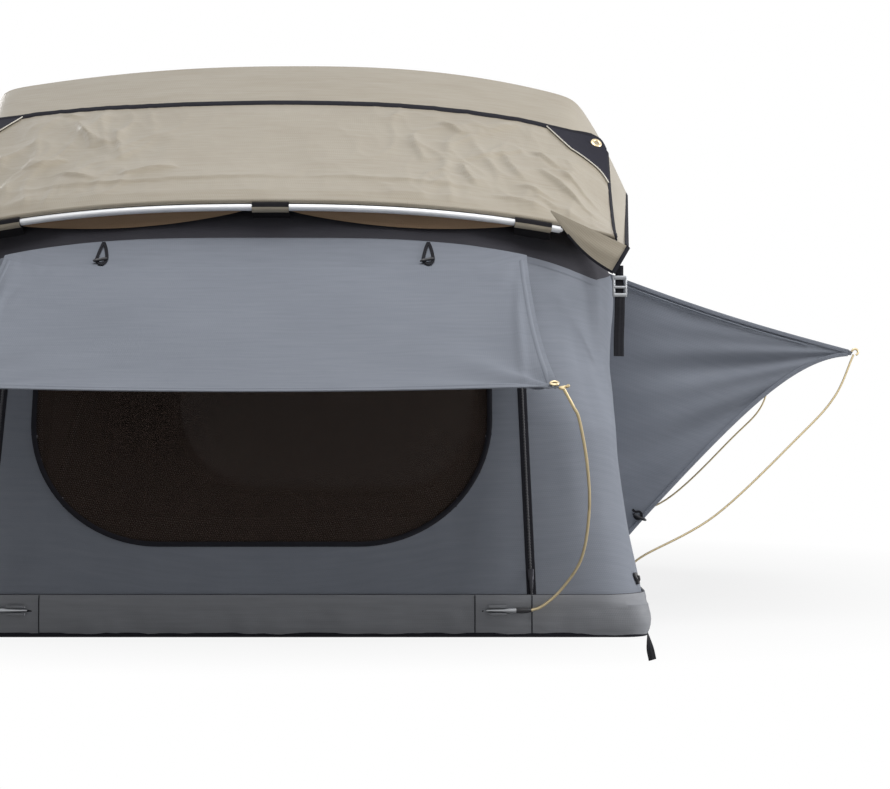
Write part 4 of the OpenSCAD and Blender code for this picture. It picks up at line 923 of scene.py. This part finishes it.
# yellow zinc plate: a pale straw colour with a satin shine
yellow_zinc = drawn_metal("yellow zinc-plated spring steel", "#DCCDAA", "#D2BE94", 0.5, 60.0, grain=0.02)
rod_d, rod_curl_r = 5, 7
rod_foot = np.array([465, -1234.3, 46])
rod_head = np.array([506, awning_y - 1, awning_z - 1])
sleeve_x, sleeve_d = np.linspace(441, 467, 8), np.array([8.6, 9, 9, 9, 8.6, 8, 7, 5.6])
tip_x, tip_d = (390, 392, 398, 412, 430, 442), np.array([2.4, 4.6, 5.0, 6.4, 8.2, 8.6])
for hand, sign in (("right", 1), ("left", -1)):
    mirror = (sign, 1, 1)
    bow = [rod_foot + k for k in ((0, 0, 0), (22, -3, 9), (54, -18, 40), (84, -58, 94), (92, -130, 176))]
    bow += [rod_head + k for k in ((43, 104, -122), (27, 44, -50), (16, 18, -28), (0, 0, 0))]
    rod = Piece()
    rod.sweep(spline(bow, 10) * mirror, (0, -0.7, 0.7), rod_d, rod_d, sides=12)
    curl = rod_head + np.array([(1 - rod_curl_r * math.sin(a), 3 - rod_curl_r * math.cos(a), a)
                                for a in np.linspace(0, 5.4, 14)])
    rod.sweep(curl * mirror, (0, 0, 1), 4.6, 4.6, sides=10)
    for xs, girth, finish in ((sleeve_x, sleeve_d, 1), (tip_x, tip_d, 2)):
        straight = np.array([(x, rod_foot[1], rod_foot[2]) for x in xs])
        rod.sweep(straight * mirror, (0, 0, 1), girth, girth, sides=14, finish=finish)
    rod = rod.object(hand + "_rod_wire", yellow_zinc, black_nylon, zinc_plate)
    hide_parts(hand + "_front_rod")
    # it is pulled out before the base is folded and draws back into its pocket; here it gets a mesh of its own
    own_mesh(rod)
    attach(rod, hand + "_rod")

# Side awnings and their rods.
# The same canvas, sewn under the roof line: a hood over the side window and a gusset at each end, hemmed all round,
# drawn out to a point by spring steel rods from pockets on the skirt.
side_end, tip_half, tip_z, gusset_z = 575, 1126, 497, 105
hood_z = (663, 650)  # the hood's root, at its end and at the hinge line
side_rod_d = 4.2
side_rod_foot, side_rod_tip = np.array([674.3, -523, 46]), np.array([1128, -580, 492])


def side_wall_x(y, z):
    """How far out the cloth of the side wall stands at a place."""
    hit = canvas_tree[-1].ray_cast(Vector(to_row((2000, y, z))), Vector((-1, 0, 0)))[0]
    return to_tent(hit)[0]


taut = (side_wall_x(-560, hood_z[0]), side_wall_x(-20, hood_z[1]))
gusset_root = side_wall_x(-side_end, gusset_z) + 1.0


def hood_point(s, t):
    """The hood, from wall (s 0) to outer edge (s 1), and from its end (t 0) to the hinge line (t 1)."""
    y = lerp(-side_end, -0.25, t)
    root, high = lerp(taut[0], taut[1], t) + 1.4, lerp(hood_z[0], hood_z[1], t)
    sag = 9 * np.sin(np.pi * s) + 10 * s * np.sin(np.pi * t / 2)
    return np.stack([lerp(root, tip_half, s), y, lerp(high, tip_z, s) - sag], -1)


def gusset_point(s, t):
    """The end gusset, from its hollow lower edge (t 0) to the hood (t 1), s from wall to tip."""
    rise = np.sin(np.pi / 2 * s) ** (1 + s / 2)
    low = np.stack([lerp(gusset_root, tip_half - 2, s), 0 * s - side_end, lerp(gusset_z, tip_z - 6, rise)], -1)
    return lerp(low, hood_point(s, 0 * s), t[..., None])


for half_name, body, side in halves:
    wings, wires = Piece(), Piece()
    s, t = np.meshgrid(np.linspace(0, 1, 70), np.linspace(0, 1, 50), indexing="ij")
    hood = hood_point(s, t)
    wave = 2.5 * ripple(s * 500, t * side_end, 110, 6.1) + 1.2 * ripple(s * 500, t * side_end, 40, 1.1)
    hood[..., 2] += wave * np.sin(np.pi * s) * ramp(t, 0, 1 / 8)
    # the gusset's folds fan out from the tip
    gusset = gusset_point(s, t)
    fan = np.arctan2((gusset[..., 2] - tip_z), tip_half + 25 - gusset[..., 0])
    loose = np.sin(np.pi * np.clip(s * 1.02, 0, 1)) * np.sin(np.pi * t) ** 0.5
    wave = 5 * np.sin(fan * 19 + 0.4) + 3 * np.sin(fan * 37 + 2.0)
    wave += 3.5 * ripple(gusset[..., 0], gusset[..., 2], 120, 3.3)
    gusset[..., 1] -= loose * (wave - 4)
    wings.sheet(hood, awning_t)
    wings.sheet(gusset[:, ::-1], awning_t)
    for hem, normal in ((hood[1:-1, 0] + (0, -0.5, -1), (0, -1, 0)), (gusset[1:-1, 0] + (0, -0.5, 2), (0, -1, 0)),
                        (hood[-1, 1:] + (-1, 0, 0), (0.2, 0, 1))):
        wings.tape(hem, normal, 8, 3.4)
    # a row of stitches below the roof line
    wings.sweep(hood[2:-12, 0] + (0, -2.0, -10), (0, -1, 0), 2.2, 1.8, sides=8)
    route = [side_rod_foot + k for k in ((0, 20, 0), (0, 8, 0), (0, -4, 0), (1, -20, 2), (8, -46, 14), (34, -60, 46),
                                         (180, -60, 128))]
    route += [side_rod_tip + k for k in ((-110, 0, -164), (-38, 0, -84), (0, 0, 0))]
    if side > 0:
        route[6:9] = [k + (14, 0, -20) for k in route[6:9]]
    wires.sweep(spline(route, 10), (0, -1, 0), side_rod_d, side_rod_d, sides=12)
    curl = side_rod_tip + np.array([(3 + 6 * math.sin(a), 0.6 * a, 5 - 6 * math.cos(a))
                                    for a in np.linspace(0.3, 4.6, 12)])
    wires.sweep(curl, (0, -1, 0), 4.4, 4.4, sides=10)
    if side > 0:
        for made in (wings, wires):
            made.points = [p * (1, -1, 1) for p in made.points]
            made.faces = [f[::-1] for f in made.faces]
    wings = wings.mirrored(0).object(half_name + "_side_awning_cloth", wall_canvas)
    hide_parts(half_name + "_side_awnings")
    collapse(wings)
    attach(wings, body)
    wires = wires.mirrored(0).object(half_name + "_side_rod_wires", yellow_zinc)
    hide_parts(half_name + "_side_rods")
    collapse(wires)
    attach(wires, body)

# Fly, front and rear half.
# Tan coated polyester drawn over the three fly poles and down to an eave, bound in black along its side edges. Its
# front corners are tucked under in a triangle that the corner buckles pull on.
# height over the pole's middle, reach past the end pole, roundness of the crown, share of the width that is roof
fly_lift, fly_over, fly_curve, shoulder_share, fly_t = 11.8, -1, 2.4, 0.72, 1.8
fly_corner, fly_eave = np.array([645, 676]), np.array([723, 858])
fly_front_x, fly_mid_x = 540, 607
left_out, left_up, left_up_front = 58, 18, 56


def fly_line(v, x, front, middle, sag):
    """A line of the fly from the front pole to the middle one, given how far these are from the pivot."""
    end = front * math.cos(bow_lean)
    y = lerp(-end - fly_over, -0.25, v)
    z = pivot_z + lerp(middle, front * math.sin(bow_lean), -y / end) + fly_lift - sag * np.sin(np.pi * v)
    return np.stack([x, y, z], -1)


def fly_edge(v):
    """The side edge, from the front corner up to the eave's middle."""
    x, z = (lerp(fly_corner[k], fly_eave[k], v) for k in (0, 1))
    return np.stack([x, lerp(-end_pole["reach"] * math.cos(bow_lean), -0.25, v), z], -1)


def fly_point(h, v, edge, swell=14):
    """The fly from ridge (h 0) to side edge (h 1), and from its front (v 0) to the middle pole (v 1)."""
    crown = fly_line(v, 0 * v, pole_r(0, end_pole), pole_r(0, mid_pole), 10)
    shoulder = fly_line(v, lerp(fly_front_x, fly_mid_x, v), pole_r(fly_front_x, end_pole),
                        pole_r(fly_mid_x, mid_pole), 6)
    q = ramp(np.abs(h), 0, shoulder_share)
    roof = lerp(crown, shoulder, (q ** fly_curve)[..., None])
    roof[..., 0] = shoulder[..., 0] * q
    w = ramp(np.abs(h), shoulder_share, 1)
    drop = lerp(shoulder, edge(v), w[..., None])
    drop[..., 2] += swell * np.sin(np.pi * w) * v
    point = np.where((np.abs(h) <= shoulder_share)[..., None], roof, drop)
    point[..., 0] *= np.where(h < 0, -1, 1)
    # the left side is pitched a little wider and higher than the right
    loose = np.where(h < 0, v, 0) * q ** 2.5 * (1 - w)
    point[..., 0] -= left_out * loose
    point[..., 2] += (left_up + left_up_front * (1 - v)) * loose
    return point


porch_share = 0.69  # how far back over the roof the porch flap covers the fly
slack_from, slack_to = 44, 446
for half_name, body, side in halves:
    h, v = np.meshgrid(np.linspace(-1, 1, 201), np.linspace(0, 1, 91), indexing="ij")
    grid = smoothed(fly_point(h, v, fly_edge), 5)
    for _ in range(14):
        grid[1:-1] += 0.25 * (grid[:-2] - 2 * grid[1:-1] + grid[2:])
    bare = ramp(v, porch_share + 0.02, porch_share + 0.08) if side < 0 else ramp(v, 0, 1 / 8)
    x, y = grid[..., 0], grid[..., 1]
    lift = 2.2 * ripple(x * 0.4, y, 90, 7.7 + side) + 1.6 * np.abs(ripple(x * 0.7, y, 60, 2.9)) + 1.2
    grid[..., 2] += bare * np.clip(lift, 0, 5) * (1 - hump(v, 1, 0.05))
    if side > 0:
        grid = (grid * (1, -1, 1))[::-1]
    fly = Piece()
    fly.sheet(grid, fly_t)
    for k in (0, -1):
        fly.tape(grid[k] + (0, 0, 1), (np.sign(grid[k, 0, 0]), 0, 0.6), 12, 4.2, finish=1)
    # the tucked corners: a triangle between the pole, the corner and the buckle
    a, b, c = (np.array(k) for k in ((506, 1031, 743 if side < 0 else 724), (648, 1024, 677), (620, 1036, 630)))
    p, q = np.meshgrid(np.linspace(0.02, 1, 30), np.linspace(0, 1, 20), indexing="ij")
    tuck = a + p[..., None] * lerp(b - a, c - a, q[..., None])
    tuck[..., 2] -= 15 * np.sin(np.pi * p) * q
    tuck[..., 1] += 3 * np.sin(np.pi * q) * p + 0.8 * np.sin(q * 9 + 4 * p) * p * np.sin(np.pi * q)
    for sx in (-1, 1):
        corner = tuck * (sx, side, 1)
        outward = corner if sx * side > 0 else corner[:, ::-1]
        fly.sheet(outward, fly_t)
        fly.tape(corner[-1] + (0, side * 1.0, 0), (sx * 0.6, side * 0.8, 0), 9, 4, finish=1)
        fly.tape(corner[8:, -1] + (0, side * 1.0, 0), (0, side, 0), 5, 3, finish=1)
        # the slack of the fly shows below the pole, between the tabs, in the browner cloth that paints the shade there
        across, down = np.meshgrid(np.linspace(slack_from, slack_to, 40), np.linspace(0, 1, 6), indexing="ij")
        slack = in_bow_plane(across, pole_r(across, end_pole), 0, math.pi - bow_lean)
        slack[..., 1] += 8 + 3 * down
        hollow = np.sin(np.pi * (across - slack_from) / (slack_to - slack_from)) ** 0.8
        slack[..., 2] += 4 - down * (9 + 24 * hollow)
        slack = slack * (sx, -side, 1)
        fly.sheet(slack if sx * side > 0 else slack[:, ::-1], 1.4, finish=2)
    fly = fly.object(half_name + "_fly_cloth", fly_cloth, binding_tape, fly_slack_painted_shade)
    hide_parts(half_name + "_fly")
    collapse(fly)
    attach(fly, body)

# Porch flap, its corner patches and grommets.
# The front panel of the fly turned back over the roof, loose and creased, bound in black. Black coated patches with
# pale piping strengthen its two corners, each with a brass grommet.

# coated patch cloth: blue-black and smooth, with little shine
patch_coat = woven("black coated polyester", "#1B1B24", "#272731", 4.0, 0.75, weave=0.12, cloud=0.5, shine=0.12)
# woven piping: an off-white cord that draws a thin pale line
piping = woven("pale piping cord", "#CFCBC0", "#DDD9CF", 2.0, 0.6)
flap_run, flap_lift, patch_lift = 711, 2.8, 4.2
# shares of the flap: where a patch starts, rounds its corner and ends, how deep it is there, and its grommet's place
patch_across, patch_deep, grommet_at = (0.655, 0.72, 0.995), (0.004, 0.2, 0.285), (0.915, 0.93)


def porch_edge(v):
    """The flap's side edge, which lies a little inside the fly's."""
    q = v / porch_share
    return np.stack([lerp(626, 658, q), fly_edge(v)[..., 1] + 8, lerp(694, 937, np.clip(q, 0, 1) ** 1.5)], -1)


def porch_point(h, q):
    """The flap lies on the fly, from the front (q 0) to its free edge (q 1), which has rounded corners."""
    v = q * (porch_share - 0.05 * ramp(np.abs(h), 0.9, 1) ** 2.6)
    return fly_point(h, v, porch_edge, 4) + (0, 0, flap_lift)


h, v = np.meshgrid(np.linspace(-1, 1, 325), np.linspace(0, 1, 145), indexing="ij")
grid = smoothed(porch_point(h, v), 3)
x, y = grid[..., 0], grid[..., 1]
# it lies flat at the pole, at the free edge, at the sides and under the patches
at_patch = ramp(np.abs(h), 0.62, 0.66) * ramp(v, 0.62, 0.68)
lies = ramp(v, 0, 0.06) * (1 - 0.8 * ramp(v, 0.88, 1)) * (1 - 0.5 * ramp(np.abs(h), 0.74, 0.84)) * (1 - at_patch)


def ridges(size, seed, sx, sy):
    """Narrow ridges that wander over the flap, about size apart."""
    bent = x * sx + 40 * ripple(x, y, 170, seed)
    return (1 - np.abs(ripple(bent, y * sy, size, seed)) * 2.2).clip(0, 1) ** 3


sides = np.clip((np.abs(x + 20) - 120) / 220, 0.15, 1)
crumple = 6 * ridges(190, 1.3, 1.7, 0.6) + 4.5 * ridges(105, 4.8, 1.5, 0.5) + 1.8 * ridges(52, 9.1, 1.2, 0.45)
crumple *= sides
crumple += 7 * (0.5 + 0.5 * ripple(x, y * 0.5, 170, 6.6)) + 1.5 * sides * (0.5 + 0.5 * ripple(x, y * 0.4, 42, 3.4))
# creases that were pressed in while it was packed: from x and share of the run to x and share, height, and the
# width of the soft side
creases = ((-480, 0.36, -405, 0.44, 6, 50), (-290, 0.24, -180, 0.3, 6, 50), (-440, 0.86, -370, 0.55, 9, 40),
           (-510, 0.97, -430, 0.9, 6, 40), (-420, 0.3, -330, 0.2, 5, 40), (343, 0.42, 381, 0.18, 9, 30),
           (402, 0.13, 505, 0.05, 6, 30), (455, 0.26, 525, 0.15, 7, 30), (486, 0.17, 530, 0.06, 6, 24),
           (405, 0.8, 475, 0.93, 6, 45), (310, 0.84, 356, 0.72, 7, 40), (360, 0.46, 490, 0.66, 6, 60),
           (490, 0.66, 546, 0.5, 8, 45), (500, 0.46, 600, 0.14, 10, 40), (540, 0.5, 610, 0.28, 8, 35),
           (-500, 0.15, 60, 0.2, 3.5, 80), (60, 0.2, 420, 0.16, 3.5, 80), (-560, 0.4, -620, 0.15, 9, 40),
           (-350, 0.75, -300, 0.4, 6, 30), (250, 0.7, 280, 0.4, 5, 30), (430, 0.6, 470, 0.3, 7, 30))
for x0, q0, x1, q1, tall, soft in creases:
    ax, ay = x1 - x0, (q1 - q0) * flap_run
    px, py = x - x0, (v - q0) * flap_run
    along = (px * ax + py * ay) / (ax * ax + ay * ay)
    off = (py * ax - px * ay) / math.hypot(ax, ay) * np.sign(ax) + 6 * ripple(x, y, 50, x0 * 0.01)
    profile = np.where(off > 0, np.exp(-off / soft * 1.4), np.exp(off / 4.5))
    crumple += 1.5 * tall * np.clip(along * (1 - along) * 4, 0, 1) ** 0.7 * profile
# pulled folds at the front corners
pull = np.hypot(np.abs(x) - 622, (y + 1025) * 0.8)
turn = np.arctan2(y + 1045, 640 - np.abs(x))
crumple += 9 * (0.5 + 0.5 * np.sin(turn * 15)) * np.exp(-pull / 120) * (1 - np.exp(-pull / 30))
grid[..., 2] += lies * crumple * np.interp(x, (150, 420), (1, 0.68))
# the fold at the front rolls down to the pole
nose = [grid[:, :1] + (0, -dy, -dz) for dy, dz in ((0.5, 6), (2, 4.8), (2.6, 3.2), (2.2, 1.6), (1.2, 0.4))]
grid = np.concatenate(nose + [grid], axis=1)
flap = Piece()
flap.sheet(grid, fly_t)
ends = ramp(1 - np.abs(np.linspace(-1, 1, len(grid) - 4)), 0, 0.12)
flap.sweep(grid[2:-2, -1] + (0, -4, 2) * ends[:, None], (0, -0.6, 0.8), 6 + 13 * ends, 3 + 3 * ends, sides=10,
           square=3, finish=1)
for k in (0, -1):
    flap.tape(grid[k] + (0, 0, 1), (np.sign(grid[k, 0, 0]), -0.2, 0.6), 10, 4.0, finish=1)
flap = flap.object("porch_flap_cloth", fly_cloth, binding_tape)
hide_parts("porch_flap")
collapse(flap)
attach(flap, "porch")

patches = Piece()
a, b = np.meshgrid(np.linspace(0, 1, 30), np.linspace(0, 1, 24), indexing="ij")
hp = lerp(patch_across[0], patch_across[-1], a)
vp = 1 - 0.004 - b * np.interp(hp, patch_across, patch_deep)
for sx in (-1, 1):
    grid = porch_point(sx * hp, vp) + (0, 0, patch_lift)
    patches.sheet(grid[:, ::-1] if sx > 0 else grid, 1.4)
    patches.sweep(grid[:, -1] + (0, -0.6, 1.2), (0, -0.35, 0.94), 3, 2.6, sides=8, finish=1)
patches = patches.object("porch_patch_cloth", patch_coat, piping)
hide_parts("porch_flap_patches")
collapse(patches)
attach(patches, "porch")
rings = Piece()
turns = np.linspace(0, 2 * np.pi, 33)[:-1, None]
# radius and height of a grommet's lip, from its hole outward
lip = ((5.4, 0.2), (5.4, 1.2), (6.2, 2.2), (7.8, 2.6), (10.4, 2), (12, 0.6), (12, -2))
for sx in (-1, 1):
    centre = porch_point(np.array(sx * grommet_at[0]), np.array(grommet_at[1])) + (0, -1, 9)
    face = np.array([sx * 0.3, -0.72, 0.62])
    wide = np.cross(face, (0, 0, 1))
    wide /= np.linalg.norm(wide)
    round_face = np.cos(turns) * wide + np.sin(turns) * np.cross(wide, face)
    rings.stack([centre + r * round_face + face * up for r, up in lip])
    rings.finish_of[-2] = 1
rings = rings.object("porch_grommet_rings", polished_brass, fly_cloth)
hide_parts("porch_flap_grommets")
collapse(rings)
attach(rings, "porch")

# Corner buckles, webbing tails and hanging straps.
# Ladder-lock buckles on black 20 mm webbing pull the tucked corners of the fly down; the tails hang free, and short
# straps hang from the skirt's corners.
buckle_half, buckle_in = 11, 13
for half_name, body, side in halves:
    low, high = tent_box(half_name + "_fly_buckles")
    bx, by = high[0] - buckle_in, (low[1] + high[1]) / 2
    facing = np.array([0.2, side * 0.98, 0])
    across = np.array([-facing[1], facing[0], 0]) * -side
    buckle, tail = Piece(), Piece()
    centre = np.array([bx, by, 0])
    for k in (-1, 1):
        rail = [centre + across * buckle_half * k + facing + (0, 0, z)
                for z in np.linspace(low[2] + 2, high[2] - 6, 8)]
        buckle.sweep(rail, facing, 5, (3, 5, 5.5, 5.5, 5.5, 5.5, 5, 3), sides=10, square=3)
    for z, tall in ((low[2] + 5, 7), (low[2] + 19, 5), (high[2] - 10, 8)):
        bar = [centre + across * k + facing * 3 + (0, 0, z) for k in np.linspace(-buckle_half, buckle_half, 7)]
        buckle.sweep(bar, facing, tall, 4, sides=10, square=2.6)
    strap = [centre + facing * k + (0, 0, z) for k, z in
             ((-1, high[2] + 12), (-1, high[2]), (-0.5, high[2] - 12), (0, low[2] + 26), (0, low[2] + 12),
              (-1, low[2] + 2))]
    buckle.sweep(spline(strap, 5), facing, 15, 2, sides=8, square=4, finish=1)
    tail_low, tail_high = tent_box(half_name + "_fly_tails")
    hang = [centre + facing * k + (dx, 0, lerp(tail_high[2], tail_low[2], q)) for k, dx, q in
            ((3, 0, -0.08), (2, 0, 0.1), (0, 0, 0.35), (1, -1.5, 0.7), (3, -2, 1.0))]
    tail.sweep(spline(hang, 8), facing, 19, 2, sides=8, square=4)
    buckle = buckle.mirrored(0).object(half_name + "_ladder_locks", zinc_plate, webbing)
    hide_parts(half_name + "_fly_buckles")
    tail = tail.mirrored(0).object(half_name + "_webbing_tails", webbing)
    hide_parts(half_name + "_fly_tails")
    strap_low, strap_high = tent_box(half_name + "_corner_straps")
    sy = (strap_low[1] + strap_high[1]) / 2
    drop = spline([(strap_high[0] - 1.2 + dx, sy, z) for dx, z in
                   ((0, strap_high[2]), (0.2, 5), (2, -8), (5, -26), (9, strap_low[2] + 1))], 8)
    twist = ramp(-drop[:, 2], 0, 30)
    turned = np.stack([1 - 0.5 * twist, side * (0.1 + 0.8 * twist), 0 * twist], 1)
    hanging = Piece().sweep(drop, turned, 20 - 4 * twist, 2, sides=8, square=4)
    hanging = hanging.mirrored(0).object(half_name + "_hanging_straps", webbing)
    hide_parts(half_name + "_corner_straps")
    for made in (buckle, tail):
        collapse(made)
    for made in (buckle, tail, hanging):
        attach(made, body)

# Stage, light and camera.
# A pale floor that takes the tent's shadow, a white surround, three soft lamps, and a long lens that looks at the
# front of the tent from a little to the right of its middle.
floor_z = cad_box[0][2] - 0.001
bpy.ops.mesh.primitive_plane_add(size=60, location=(0, 0, floor_z))
floor = bpy.context.object
floor.name = "floor"
# matt paper: white to the camera away from the tent, and shaded round its foot
floor_finish, floor_tree, floor_shader = new_finish("pale floor")
feed(floor_tree, floor_shader, {"Base Color": linear("#CECECE"), "Roughness": 0.9})
rays = add(floor_tree, "ShaderNodeLightPath")
glow = add(floor_tree, "ShaderNodeEmission", {"Color": linear("#FFFFFF"), "Strength": 1.0})
floor_place = add(floor_tree, "ShaderNodeTexCoord").outputs["Object"]
away = add(floor_tree, "ShaderNodeVectorMath", {0: floor_place}, operation="LENGTH")
share = add(floor_tree, "ShaderNodeMapRange", {"Value": away.outputs["Value"], "From Min": 0.95, "From Max": 2.0,
                                               "To Min": 0.82, "To Max": 1.0})
seen = add(floor_tree, "ShaderNodeMath", {0: rays.outputs["Is Camera Ray"], 1: share.outputs[0]},
           operation="MULTIPLY")
mixed = add(floor_tree, "ShaderNodeMixShader", {0: seen.outputs[0], 1: floor_shader.outputs[0], 2: glow.outputs[0]})
feed(floor_tree, floor_tree.nodes["Material Output"], {"Surface": mixed.outputs[0]})
floor.data.materials.append(floor_finish)

world = bpy.data.worlds.new("studio")
bpy.context.scene.world = world
world.use_nodes = True
sky = world.node_tree
sky_rays = add(sky, "ShaderNodeLightPath").outputs
bright = sky_rays["Is Camera Ray"]
for kind in ("Is Glossy Ray", "Is Transmission Ray"):
    bright = add(sky, "ShaderNodeMath", {0: bright, 1: sky_rays[kind]}, operation="MAXIMUM").outputs[0]
level = add(sky, "ShaderNodeMapRange", {"Value": bright, "To Min": 0.15, "To Max": 1.0})
feed(sky, sky.nodes["Background"], {"Color": linear("#FFFFFF"), "Strength": level.outputs[0]})

for name, place, target, size, power in (("top_softbox", (0.3, -2.9, 4.3), (0, -0.9, 0.5), 2.6, 118),
                                         ("right_softbox", (5.3, -1.8, 1.9), (0.3, -1.0, 0.4), 2.2, 170),
                                         ("rear_softbox", (-3.6, 3.6, 2.0), (0, 0, 0.4), 2.4, 130)):
    lamp = bpy.data.lights.new(name, "AREA")
    lamp.size, lamp.energy = size, power
    lamp_object = bpy.data.objects.new(name, lamp)
    lamp_object.location = place
    lamp_object.rotation_euler = (Vector(target) - Vector(place)).to_track_quat("-Z", "Y").to_euler()
    bpy.context.scene.collection.objects.link(lamp_object)

lens = bpy.data.cameras.new("camera")
lens.lens, lens.sensor_width, lens.sensor_fit = 94.9, 36, "HORIZONTAL"
camera = bpy.data.objects.new("camera", lens)
camera.location, camera.rotation_euler = (0.320, -5.8275, 0.443), (math.pi / 2, 0, 0)
bpy.context.scene.collection.objects.link(camera)
bpy.context.scene.camera = camera
bpy.context.scene.view_settings.view_transform = "Standard"
